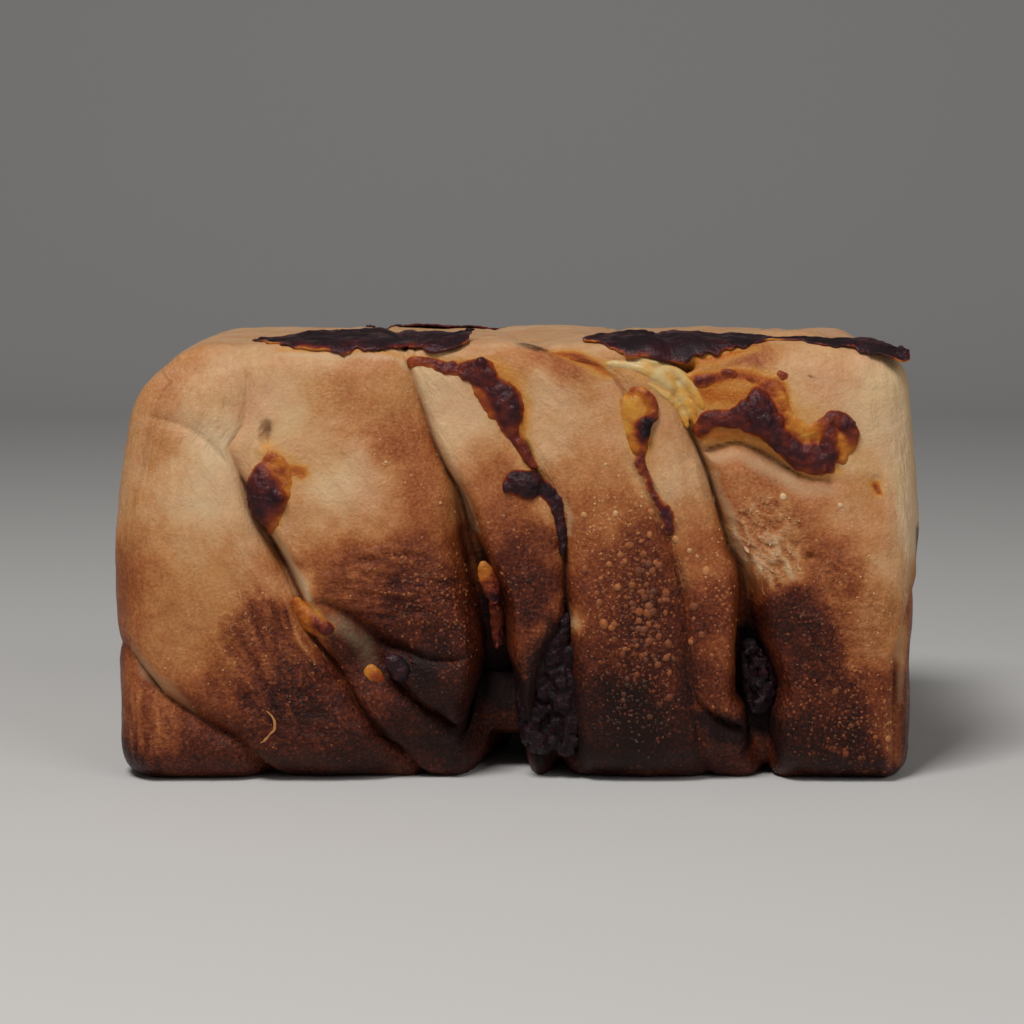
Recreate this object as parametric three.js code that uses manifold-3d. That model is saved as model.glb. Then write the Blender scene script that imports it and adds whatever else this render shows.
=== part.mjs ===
// A cheese bread baked in a loaf tin and turned out upside down: one twisted rope of dough whose
// strands run slantwise over the sides, with melted cheese that ran out of the folds and burnt.
// Millimetres, +Z up. The loaf lies along X, its shown side faces -Y and it stands on Z = 0.
import * as THREE from 'three';
import { mergeVertices } from 'three/addons/utils/BufferGeometryUtils.js';
import Module from 'manifold-3d';

const wasm = await Module();
wasm.setup();

const { clamp, lerp, smoothstep } = THREE.MathUtils;

// Driving dimensions of the loaf
const LENGTH = 197;
const DEPTH = 104;
const HEIGHT = 108.5;
const HALF_LENGTH = LENGTH / 2;
const HALF_DEPTH = DEPTH / 2;

// The side that lay on the tin's base is now the top: it is narrower and shorter by these shares
const TOP_TAPER = { across: 0.11, along: 0.035 };
const TAPER_START = { across: 40, along: 60 };

// Rounding of the long edges (across, up) and of the corners at the loaf's two ends
const TOP_EDGE = { across: 9, up: 8 };
const FOOT_EDGE = { across: 18, up: 13 };
const HIGH_CORNER = 29;
const LOW_CORNER = 14;
const FOOT_CORNER = 8;
const CORNER_REACH = 45;

// The loaf's foot sinks this far under its own weight, which flattens its lowest spots on the table
const SETTLE = 1.5;
const SETTLE_REACH = 40;

// Gap left between the dough and each piece of cheese
const GAP = 0.3;

// Grid of the dough's surface
const GRID = { along: 48, across: 8, up: 25 };

// Share by which the grid's columns crowd towards the main folds
const CROWDING = 0.75;

// Shape of a fold's sides: 1 is a plain V, and more rolls the dough over like a cushion's edge
const ROLL = 1.8;

// The shown half and the hidden half meet along the middle of the top, the ends and the underside,
// and their patterns fade into each other over this distance on either side of it
const BLEND = 12;
const TOP_END = HEIGHT + HALF_DEPTH + BLEND;
const UNDER_END = -HALF_DEPTH - BLEND;
const END_END = HALF_LENGTH + HALF_DEPTH + BLEND;

// Folds between the strands, in rows of [along, round, depth]. Along is measured from the loaf's
// middle and goes on round the two ends. Round runs up the front from the table, over the top edge
// at HEIGHT and on across the top, and below 0 it runs under the loaf. West and east are the widths
// over which the dough rolls into the fold on either side: on a level fold, below and above it.
// The main folds fall from top to bottom, and each has its own column of the grid.
const MAIN_FOLDS = [
  // left lobe against the strand beside it, faint above
  {
    column: 11,
    rows: [
      [-70, TOP_END, 0.4],
      [-66, HEIGHT, 1],
      [-67, 98, 1.4],
      [-71, 83, 1.8],
      [-66, 73, 4.5],
      [-59, 56, 7],
      [-50, 38, 6],
      [-37, 21, 4.5],
      [-24, 4, 5],
      [-13, UNDER_END, 2],
    ],
    west: 10,
    east: 7,
  },
  // deep cleft in the middle, which opens into the hollow underneath
  {
    column: 20,
    rows: [
      [-34.5, TOP_END, 2],
      [-27, HEIGHT, 3.5],
      [-22, 90, 7],
      [-15, 73, 9],
      [-11, 56, 12],
      [-8, 38, 14],
      [-6, 21, 15],
      [-6.5, 3, 15],
      [-4, -16, 5],
      [1.5, UNDER_END, 2],
    ],
    west: 14,
    east: 7,
  },
  // narrow strand against the broad one right of the middle
  {
    column: 26,
    rows: [
      [-24, TOP_END, 0.5],
      [-22, HEIGHT, 2],
      [-9, 99, 4],
      [1, 85, 4],
      [10, 64, 4.5],
      [13.5, 42, 5.5],
      [11.5, 24, 6],
      [9, 4, 8],
      [11, -16, 3],
      [16, UNDER_END, 2],
    ],
    west: 8,
    east: 8,
  },
  // soft groove down the broad strand
  {
    column: 33,
    rows: [
      [-4, TOP_END, 1.5],
      [20, HEIGHT, 2.5],
      [26, 90, 3],
      [32, 73, 2.8],
      [40, 56, 2],
      [44, 24, 2],
      [46, 4, 2],
      [57, UNDER_END, 1.5],
    ],
    west: 10,
    east: 9,
  },
  // deep fold against the right lobe, with the burnt pocket low down in it
  {
    column: 38,
    rows: [
      [31.5, TOP_END, 2],
      [39.5, HEIGHT, 4],
      [42, 90, 5.5],
      [47, 73, 8],
      [54, 55, 10],
      [58, 38, 13],
      [60.5, 22, 14],
      [63, 4, 10],
      [66, -16, 3],
      [74, UNDER_END, 1],
    ],
    west: 8,
    east: 11,
  },
];
const MINOR_FOLDS = [
  // pale dome above the left lobe
  {
    rows: [
      [-100, 90, 0.8],
      [-87, 89, 2],
      [-78, 89, 2.4],
      [-71, 83, 2],
    ],
    west: 10,
    east: 9,
  },
  // level fold under the pale ledge that carries the burnt curl
  {
    rows: [
      [44, 84.5, 4],
      [60, 80.5, 4.5],
      [72, 75.5, 4],
      [90, 76, 0.5],
    ],
    west: 13,
    east: 8,
  },
  // tucked-in foot at the left end
  {
    rows: [
      [-END_END, 44.5, 3],
      [-100, 41, 4],
      [-91, 28, 4.5],
      [-80, 19.5, 4.5],
      [-63, 6, 5],
      [-53, UNDER_END, 2],
    ],
    west: 12,
    east: 12,
  },
  // tucked-in foot at the right end
  {
    rows: [
      [END_END, 43.5, 3],
      [100, 54, 3],
      [95, 45, 3.5],
      [92.5, 26, 3.5],
      [94, 4, 3],
    ],
    west: 12,
    east: 12,
  },
  // torn lip of the second strand, over a recess
  {
    rows: [
      [-46, 42, 1.5],
      [-38, 42.5, 3.5],
      [-28, 35, 5],
      [-18, 31.5, 5],
      [-8, 32.5, 6],
    ],
    west: 13,
    east: 8,
  },
];
const FOLDS = [...MAIN_FOLDS, ...MINOR_FOLDS];

// Broad swellings (rise above 0) and hollows (below 0): place, reach along, reach round, rise
const SWELLS = [
  { along: 0, round: 5, wide: 10, tall: 20, rise: -13 },
  { along: -33, round: 29, wide: 13, tall: 7.5, rise: -4 },
  { along: -97, round: 56, wide: 22, tall: 24, rise: 1.8 },
  { along: -38, round: 68, wide: 17, tall: 24, rise: 2.5 },
  { along: 27, round: 50, wide: 12, tall: 34, rise: 2 },
  { along: 46, round: 68, wide: 7, tall: 26, rise: -1.5 },
  { along: 77, round: 48, wide: 14, tall: 24, rise: 2.5 },
  { along: 70, round: 92, wide: 24, tall: 9, rise: 1.8 },
  { along: 104, round: 76, wide: 14, tall: 18, rise: 1 },
];

// Small unevenness of the hand-shaped dough: height, wavelength and where its waves start
const LUMP_RISE = 0.7;
const LUMP_WAVE = 31;
const LUMP_START = { along: 1.7, up: 0.6 };

// Cheese that ran out of the folds. Each piece is one strand or a few that run together, in rows of
// [along, round, half width, height above the dough's outer skin]. Root is how far the piece reaches
// down into its fold, and a loose sheet has its thickness instead.
const CHEESE = [
  {
    name: 'cheese_burst_left',
    look: 'burnt',
    strands: [
      [
        [-58, 81, 2, 0.8],
        [-62, 75, 4.2, 1.6],
        [-61.5, 70, 4, 1.4],
        [-59, 63, 1.6, -0.6],
      ],
    ],
    root: 5,
  },
  {
    name: 'cheese_drop_left',
    look: 'melted',
    strands: [
      [
        [-52.5, 43, 2.2, 0.6],
        [-50, 41, 2.8, 0.8],
        [-46.5, 38.5, 2.4, 0.4],
      ],
    ],
    root: 6,
  },
  {
    name: 'cheese_bead_under',
    look: 'melted',
    strands: [
      [
        [-37, 26.5, 2.4, -2],
        [-35, 27.5, 3, -1.5],
        [-33.6, 28.5, 2, -2],
      ],
    ],
    root: 8,
  },
  {
    name: 'cheese_knob_under',
    look: 'burnt',
    strands: [
      [
        [-30.5, 33, 2.8, 0],
        [-28.5, 30.5, 3.6, 0.6],
        [-26.5, 27.5, 2.8, 0],
      ],
    ],
    root: 8,
  },
  {
    name: 'cheese_seam_cleft',
    look: 'melted',
    strands: [
      [
        [-9, 57, 1.4, -5],
        [-7.4, 50.5, 2.4, -3],
        [-6.6, 45, 1.5, -5],
        [-5.8, 38, 2, -5.5],
        [-5, 30, 1.3, -9],
      ],
    ],
    root: 15,
  },
  {
    name: 'cheese_bean',
    look: 'burnt',
    strands: [
      [
        [-24, 105.5, 2, 0.3],
        [-15, 103.5, 2.6, 0.8],
        [-9, 99.5, 3.8, 1.6],
        [-2.5, 93.5, 4.6, 2.2],
        [0.5, 86, 2.2, 0.4],
        [4, 78.5, 2.2, 0],
      ],
    ],
    root: 5,
    along: 11,
  },
  {
    name: 'cheese_knob',
    look: 'burnt',
    strands: [
      [
        [-1, 75, 2.4, 0.8],
        [3, 73.5, 3.8, 1.6],
        [7.5, 71.5, 2.4, 0.8],
        [9.6, 65, 2.3, 0.6],
        [10.8, 58, 1.3, -0.8],
      ],
    ],
    root: 5,
  },
  {
    name: 'cheese_char',
    look: 'burnt',
    strands: [
      [
        [13, 42, 1.4, -2.5],
        [10.5, 37, 3.2, -1],
        [7.5, 29, 6, -1.5],
        [9, 20, 7, -1.5],
        [10.5, 11, 6, -2],
      ],
    ],
    root: 9,
    along: 10,
    around: 8,
  },
  {
    name: 'cheese_bulb',
    look: 'melted',
    strands: [
      [
        [32, 96, 2, 0.3],
        [29.5, 91, 4, 1.4],
        [30.5, 85, 3, 0.8],
        [32, 77, 1.9, 0],
        [35, 69, 1.6, 0],
        [37.3, 62, 2.4, 0.3],
      ],
    ],
    root: 4.5,
    along: 10,
  },
  {
    name: 'cheese_pocket',
    look: 'burnt',
    strands: [
      [
        [57.8, 34, 2, -8],
        [59, 28, 3.4, -6],
        [59.6, 22, 4.2, -6],
        [60.4, 17, 2.4, -8],
      ],
    ],
    root: 16,
  },
  {
    name: 'cheese_curl',
    look: 'burnt',
    strands: [
      [
        [45.5, 86.5, 2.4, 1.6],
        [50, 89.5, 3.2, 2.2],
        [55, 90, 3, 2.6],
        [61, 91.5, 2.8, 2.6],
      ],
      [
        [58.6, 95, 2.6, 2.4],
        [60.5, 91.5, 3.6, 3.4],
        [64, 86.5, 3.4, 2.8],
        [68.5, 82, 3.4, 2.6],
        [74, 80.5, 3.2, 2.4],
      ],
      [
        [70, 81, 2.6, 2.2],
        [74.5, 82.5, 3.6, 2.8],
        [77, 87, 3.2, 2.8],
        [77.8, 91, 2, 2],
      ],
      [
        [77, 90, 1.8, 1.8],
        [80.5, 91, 2.1, 2],
        [83, 88.5, 1.7, 1.6],
        [83, 85.5, 1.1, 1.2],
      ],
    ],
    root: 3,
  },
  {
    name: 'cheese_melt',
    look: 'melted',
    strands: [
      [
        [23, 103.5, 1.6, 0.4],
        [30, 101, 2.4, 0.5],
        [37, 101.5, 2.2, 0.3],
        [40.5, 97, 2.6, 0.3],
        [42.5, 90.5, 1.8, -0.6],
      ],
    ],
    root: 5.5,
  },
  {
    name: 'crisp_left',
    look: 'burnt',
    strands: [
      [
        [-63, 113, 3, 1.2],
        [-54, 114, 7, 1.6],
        [-42, 116, 10, 1.8],
        [-30, 114.5, 10, 2.2],
        [-18, 111, 8, 2.4],
        [-12, 109, 3, 1.6],
      ],
    ],
    root: 0.4,
    along: 12,
    around: 8,
  },
  {
    name: 'crisp_middle',
    look: 'burnt',
    strands: [
      [
        [17, 112, 3, 1.4],
        [27, 112.5, 8, 2],
        [36, 114, 10, 2.6],
        [46, 115, 9, 2.2],
        [56, 115, 7, 1.6],
        [61, 116, 3, 1.2],
      ],
    ],
    root: 0.4,
    along: 12,
    around: 8,
  },
  {
    name: 'crisp_right',
    look: 'burnt',
    strands: [
      [
        [66, 115, 3, 1.2],
        [76, 116, 6, 1.6],
        [84, 116, 7, 2.6],
        [91, 115, 5.5, 4.6],
        [97, 114, 3, 6.5],
      ],
    ],
    sheet: 2.2,
    along: 10,
  },
  {
    name: 'cheese_back_curl',
    look: 'burnt',
    back: true,
    strands: [
      [
        [-70, 90, 2.4, 1.2],
        [-64, 92, 3.4, 2],
        [-58, 88, 3.6, 2.4],
        [-52, 90, 3, 2],
        [-47, 86, 2.2, 1.2],
      ],
    ],
    root: 3,
    along: 11,
  },
  {
    name: 'cheese_back_seam',
    look: 'burnt',
    back: true,
    strands: [
      [
        [-16, 103.5, 2, 0.4],
        [-8, 98, 3.4, 1.4],
        [-1, 89, 3, 1.2],
        [3.5, 79, 2.4, 0.4],
        [8, 69, 3, 0.8],
        [11.5, 57, 1.6, -0.4],
      ],
    ],
    root: 5,
    along: 11,
  },
  {
    name: 'cheese_back_pocket',
    look: 'melted',
    back: true,
    strands: [
      [
        [46, 75, 2, -3],
        [49, 68, 3, -1.5],
        [52, 60, 2.4, -3],
        [54.5, 53, 1.6, -5],
      ],
    ],
    root: 10,
  },
  {
    name: 'crisp_back',
    look: 'burnt',
    back: true,
    strands: [
      [
        [2, 111, 3, 1.2],
        [12, 112.5, 7, 1.8],
        [24, 115, 9, 2],
        [35, 114, 7, 1.6],
        [42, 113, 3, 1.2],
      ],
    ],
    root: 0.4,
    along: 11,
    around: 8,
  },
];

// Fullness of a cheese piece towards its two tips: under 1 keeps it broad for most of its length
const TIP_POWER = 0.6;
const SPINE_AROUND = 7;
const SPINE_ALONG = 8;

const FOLD_STEPS = 40;
for (const fold of FOLDS) {
  const curve = new THREE.CatmullRomCurve3(fold.rows.map((row) => new THREE.Vector3(...row)));
  fold.line = curve.getPoints(FOLD_STEPS);
}

// Nearest place on a fold to a point of the unrolled surface
function nearestOnFold(fold, along, round) {
  let best = { distance: Infinity };
  for (let i = 1; i < fold.line.length; i += 1) {
    const a = fold.line[i - 1];
    const b = fold.line[i];
    const run = b.x - a.x;
    const climb = b.y - a.y;
    const share = ((along - a.x) * run + (round - a.y) * climb) / (run * run + climb * climb);
    const s = clamp(share, 0, 1);
    const distance = Math.hypot(along - a.x - s * run, round - a.y - s * climb);
    const east = run * (round - a.y) - climb * (along - a.x) > 0;
    if (distance < best.distance) best = { distance, east, depth: lerp(a.z, b.z, s) };
  }
  return best;
}

// Depth of one fold at a point: the dough on each side rolls in like the edge of a cushion
function foldDepth(fold, along, round) {
  const near = nearestOnFold(fold, along, round);
  const closeness = 1 - near.distance / (near.east ? fold.east : fold.west);
  return near.depth * Math.max(closeness, 0) ** ROLL;
}

// Place along the loaf where a main fold passes a given height on the unrolled surface
function foldAlong(fold, round) {
  const below = fold.line.findIndex((point) => point.y <= round);
  if (below < 0) return fold.line.at(-1).x;
  if (below === 0) return fold.line[0].x;
  const a = fold.line[below - 1];
  const b = fold.line[below];
  return lerp(a.x, b.x, (a.y - round) / (a.y - b.y));
}

// Height of the dough over its plain rounded block, on the unrolled surface of one half
function halfRelief(along, round) {
  const folded = Math.max(...FOLDS.map((fold) => foldDepth(fold, along, round)));
  const swollen = SWELLS.reduce((sum, swell) => {
    const u = (along - swell.along) / swell.wide;
    const v = (round - swell.round) / swell.tall;
    return sum + swell.rise * Math.exp(-u * u - v * v);
  }, 0);
  return swollen - folded;
}

// Unrolled place of a point of the plain block, as seen from the shown half
function unroll(block) {
  const inward = block.y + HALF_DEPTH;
  if (block.z >= HEIGHT) return { along: block.x, round: HEIGHT + inward };
  if (block.z <= 0) return { along: block.x, round: -inward };
  const onEnd = Math.abs(block.x) >= HALF_LENGTH;
  return { along: block.x + (onEnd ? Math.sign(block.x) * inward : 0), round: block.z };
}

// The hidden half repeats the shown half turned by half a turn, as a twisted rope does
function turnAbout(block) {
  return new THREE.Vector3(-block.x, -block.y, block.z);
}

function reliefAt(block) {
  const hidden = smoothstep(block.y, -BLEND, BLEND);
  const shownPlace = unroll(block);
  const hiddenPlace = unroll(turnAbout(block));
  const shown = hidden < 1 ? halfRelief(shownPlace.along, shownPlace.round) : 0;
  const turned = hidden > 0 ? halfRelief(hiddenPlace.along, hiddenPlace.round) : 0;
  return lerp(shown, turned, hidden);
}

function lumpAt(point) {
  const k = (2 * Math.PI) / LUMP_WAVE;
  const cells = Math.sin(k * point.x + LUMP_START.along) * Math.sin(k * point.z + LUMP_START.up);
  const ridges = Math.sin(k * (point.y - point.x));
  return (LUMP_RISE * (cells + ridges)) / 2;
}

// Radii of the rounded block near a point of the plain one
function roundingAt(block) {
  const up = clamp(block.z / HEIGHT, 0, 1);
  const atEnd = smoothstep(Math.abs(block.x), HALF_LENGTH - CORNER_REACH, HALF_LENGTH);
  const highSide = smoothstep(Math.sign(block.x) * block.y, -HALF_DEPTH / 2, HALF_DEPTH / 2);
  const topCorner = lerp(LOW_CORNER, HIGH_CORNER, highSide);
  const corner = lerp(FOOT_CORNER, topCorner, up);
  const across = lerp(FOOT_EDGE.across, TOP_EDGE.across, up);
  return new THREE.Vector3(corner, across, lerp(lerp(FOOT_EDGE.up, TOP_EDGE.up, up), corner, atEnd));
}

// Point of the rounded, tapered loaf under a point of the plain block, moved outwards by lift
function skinPoint(block, lift) {
  const radii = roundingAt(block);
  const inner = new THREE.Vector3(
    clamp(block.x, radii.x - HALF_LENGTH, HALF_LENGTH - radii.x),
    clamp(block.y, radii.y - HALF_DEPTH, HALF_DEPTH - radii.y),
    clamp(block.z, radii.z, HEIGHT - radii.z),
  );
  const away = block.clone().sub(inner).divide(radii).normalize();
  const outward = away.clone().divide(radii).normalize();
  const point = inner.add(away.multiply(radii)).addScaledVector(outward, lift);
  point.x *= 1 - TOP_TAPER.along * smoothstep(point.z, TAPER_START.along, HEIGHT);
  point.y *= 1 - TOP_TAPER.across * smoothstep(point.z, TAPER_START.across, HEIGHT);
  point.z -= SETTLE * (1 - smoothstep(point.z, 0, SETTLE_REACH));
  return point;
}

// Point of the plain block at an unrolled place of the shown half
function rollUp(along, round) {
  const pastEnd = Math.max(Math.abs(along) - HALF_LENGTH, 0);
  const pastEdge = Math.max(round - HEIGHT, -round, 0);
  return new THREE.Vector3(
    clamp(along, -HALF_LENGTH, HALF_LENGTH),
    pastEnd + pastEdge - HALF_DEPTH,
    clamp(round, 0, HEIGHT),
  );
}

// Place along the loaf of a grid column, between the main folds to its left and right
function columnAlong(column, breaks) {
  const right = breaks.findIndex((stop) => stop.column >= column && stop.column > 0);
  const from = breaks[right - 1];
  const to = breaks[right];
  const share = (column - from.column) / (to.column - from.column);
  const crowded = (1 - Math.cos(Math.PI * share)) / 2;
  return lerp(from.along, to.along, lerp(share, crowded, CROWDING));
}

// The grid's columns follow the main folds in front and behind, and run even in between
function onColumns(block) {
  if (Math.abs(block.x) >= HALF_LENGTH) return block;
  const column = Math.round((block.x / LENGTH + 0.5) * GRID.along);
  const columns = MAIN_FOLDS.map((fold) => fold.column);
  const placed = [block, turnAbout(block)].map((side, hidden) => {
    const folds = MAIN_FOLDS.map((fold) => foldAlong(fold, unroll(side).round));
    const alongs = hidden ? folds.reverse().map((along) => -along) : folds;
    const breaks = alongs.map((along, i) => ({ along, column: columns[i] }));
    const ends = [{ along: -HALF_LENGTH, column: 0 }, ...breaks, { along: HALF_LENGTH, column: GRID.along }];
    return columnAlong(column, ends);
  });
  const front = 1 - smoothstep(block.y, -HALF_DEPTH, 0);
  const behind = smoothstep(block.y, 0, HALF_DEPTH);
  block.x = front * placed[0] + behind * placed[1] + (1 - front - behind) * block.x;
  return block;
}

function positionsOnly(geometry) {
  geometry.deleteAttribute('normal');
  geometry.deleteAttribute('uv');
  return mergeVertices(geometry);
}

function reshape(geometry, move) {
  const position = geometry.getAttribute('position');
  const vertex = new THREE.Vector3();
  for (let i = 0; i < position.count; i += 1) {
    vertex.fromBufferAttribute(position, i);
    const moved = move(vertex);
    position.setXYZ(i, moved.x, moved.y, moved.z);
  }
  return geometry;
}

function doughGeometry() {
  const block = new THREE.BoxGeometry(LENGTH, DEPTH, HEIGHT, GRID.along, GRID.across, GRID.up);
  block.translate(0, 0, HEIGHT / 2);
  return reshape(positionsOnly(block), (vertex) => {
    const place = onColumns(vertex.clone());
    const bare = skinPoint(place, 0);
    const point = skinPoint(place, reliefAt(place) + lumpAt(bare));
    point.z = Math.max(point.z, 0);
    return point;
  });
}

// One strand of cheese: a sphere drawn out along its rows and laid on the loaf's skin
function strandGeometry(rows, { root, sheet, back, around = SPINE_AROUND, along = SPINE_ALONG }) {
  const spine = new THREE.CatmullRomCurve3(rows.map((row) => new THREE.Vector3(row[0], row[1], 0)));
  const girth = new THREE.CatmullRomCurve3(rows.map((row) => new THREE.Vector3(row[2], row[3], 0)));
  const sphere = positionsOnly(new THREE.SphereGeometry(1, around, along));
  return reshape(sphere, (vertex) => {
    const polar = Math.acos(clamp(vertex.y, -1, 1));
    const ring = Math.max(Math.hypot(vertex.x, vertex.z), Number.EPSILON);
    const fullness = Math.sin(polar) ** TIP_POWER;
    const share = polar / Math.PI;
    const centre = spine.getPoint(share);
    const way = spine.getTangent(share);
    const { x: half, y: proud } = girth.getPoint(share);
    const bottom = sheet === undefined ? -root : proud - sheet;
    const aside = (half * fullness * vertex.x) / ring;
    const lift = (proud + bottom) / 2 + (((proud - bottom) / 2) * fullness * vertex.z) / ring;
    const block = rollUp(centre.x - way.y * aside, centre.y + way.x * aside);
    const point = skinPoint(block, lift);
    return back ? turnAbout(point) : point;
  });
}

// A slightly larger copy, to cut the piece's seat out of the dough
function grown(geometry) {
  const larger = geometry.clone();
  larger.computeVertexNormals();
  const normal = larger.getAttribute('normal');
  const position = larger.getAttribute('position');
  for (let i = 0; i < position.count; i += 1) {
    const x = position.getX(i) + GAP * normal.getX(i);
    const y = position.getY(i) + GAP * normal.getY(i);
    const z = position.getZ(i) + GAP * normal.getZ(i);
    position.setXYZ(i, x, y, z);
  }
  larger.deleteAttribute('normal');
  return larger;
}

function solidOf(geometry) {
  const vertProperties = new Float32Array(geometry.getAttribute('position').array);
  const triVerts = new Uint32Array(geometry.getIndex().array);
  return new wasm.Manifold(new wasm.Mesh({ numProp: 3, vertProperties, triVerts }));
}

function geometryOf(solid) {
  const mesh = solid.getMesh();
  const geometry = new THREE.BufferGeometry();
  geometry.setAttribute('position', new THREE.BufferAttribute(mesh.vertProperties, 3));
  geometry.setIndex(new THREE.BufferAttribute(mesh.triVerts, 1));
  geometry.computeVertexNormals();
  return geometry;
}

function joined(geometries) {
  return geometries.map(solidOf).reduce((whole, solid) => whole.add(solid));
}

// The dough with a seat cut for each piece of cheese, without any loose scrap the cuts leave
function seatedDough(pieces) {
  const seats = joined(pieces.flat().map(grown));
  const bodies = solidOf(doughGeometry()).subtract(seats).decompose();
  return geometryOf(bodies.reduce((a, b) => (a.volume() > b.volume() ? a : b)));
}

const LOOKS = {
  crust: { color: '#b9783c', roughness: 0.62, metalness: 0 },
  melted: { color: '#d39a3c', roughness: 0.35, metalness: 0 },
  burnt: { color: '#35150d', roughness: 0.3, metalness: 0 },
};

function namedMesh(name, geometry, look) {
  const mesh = new THREE.Mesh(geometry, new THREE.MeshStandardMaterial(LOOKS[look]));
  mesh.name = name;
  return mesh;
}

const loaf = new THREE.Group();
const cheese = CHEESE.map((piece) => piece.strands.map((rows) => strandGeometry(rows, piece)));
loaf.add(namedMesh('dough', seatedDough(cheese), 'crust'));
CHEESE.forEach((piece, i) => {
  loaf.add(namedMesh(piece.name, geometryOf(joined(cheese[i])), piece.look));
});

export default loaf;
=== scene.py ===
# %% [markdown]
# # A cheese bread, turned out of its tin
# The loaf is one twisted rope of dough with a cheese filling. It was baked in a tin and lies upside down:
# the pale side that touched the tin is on top, the browned and blistered side is at the foot. The solids
# of the loaf are already made, in metres with +Z up. This lesson keeps their form and gives them a skin.

# %% The solids
import math
import random

import bmesh
import bpy
import numpy as np
from mathutils import Matrix, Vector, noise
from mathutils.bvhtree import BVHTree
from mathutils.kdtree import KDTree


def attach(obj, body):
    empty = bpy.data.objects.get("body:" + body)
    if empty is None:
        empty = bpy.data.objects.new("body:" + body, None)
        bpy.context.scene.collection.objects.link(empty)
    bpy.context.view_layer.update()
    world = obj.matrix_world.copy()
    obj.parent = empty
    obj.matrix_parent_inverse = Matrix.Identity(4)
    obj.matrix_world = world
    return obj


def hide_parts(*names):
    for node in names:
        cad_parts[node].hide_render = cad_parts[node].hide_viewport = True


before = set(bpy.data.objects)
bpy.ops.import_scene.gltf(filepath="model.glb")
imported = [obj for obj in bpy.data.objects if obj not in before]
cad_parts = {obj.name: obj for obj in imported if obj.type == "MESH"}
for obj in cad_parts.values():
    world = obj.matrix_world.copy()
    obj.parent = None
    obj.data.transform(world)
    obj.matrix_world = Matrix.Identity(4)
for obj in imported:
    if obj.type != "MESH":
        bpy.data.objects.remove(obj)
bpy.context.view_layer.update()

scene = bpy.context.scene

# %% [markdown]
# ## Measures
# All shapes below are worked out in millimetres and turned into metres when a mesh is written. The loaf
# starts as a plain block of dough, 197 by 104 by 108.5 mm, whose edges are rounded and whose upper part
# draws in a little, as it does in a tin with leaning walls.

# %% Measures of the loaf
MM = 0.001
LENGTH, DEPTH, HEIGHT = 197.0, 104.0, 108.5
HALF_LENGTH, HALF_DEPTH = LENGTH / 2, DEPTH / 2
# how near to a face still counts as on it
EDGE = 1e-4

TAPER = {"across": 0.11, "along": 0.035}
TAPER_START = {"across": 40.0, "along": 60.0}
TOP_EDGE = {"across": 9.0, "up": 8.0}
FOOT_EDGE = {"across": 18.0, "up": 13.0}
CORNER = {"left": 23.5, "right": 11.0, "foot": 8.0, "reach": 45.0}
SETTLE, SETTLE_REACH = 1.5, 40.0


def lerp(a, b, share):
    return a + (b - a) * share


def smoothstep(value, start, end):
    share = np.clip((value - start) / (end - start), 0, 1)
    return share * share * (3 - 2 * share)


print("block of dough:", LENGTH, DEPTH, HEIGHT, "mm")

# %% [markdown]
# ## The folds
# A twisted loaf is easiest to draw on its unrolled skin, like a label taken off a jar. "Along" is measured
# from the middle of the loaf and goes on round its ends. "Up" climbs the front from the table, passes
# the top edge at HEIGHT and goes on over the top; below zero it runs under the loaf. Each fold is a line on
# that label with a depth and half the width of its open floor, and with the width over which the dough
# rolls into it on its west and east side.

# %% Lines of the folds
BLEND = 12.0
TOP_END = HEIGHT + HALF_DEPTH + BLEND
UNDER_END = -HALF_DEPTH - BLEND
END_END = HALF_LENGTH + HALF_DEPTH + BLEND

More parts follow.
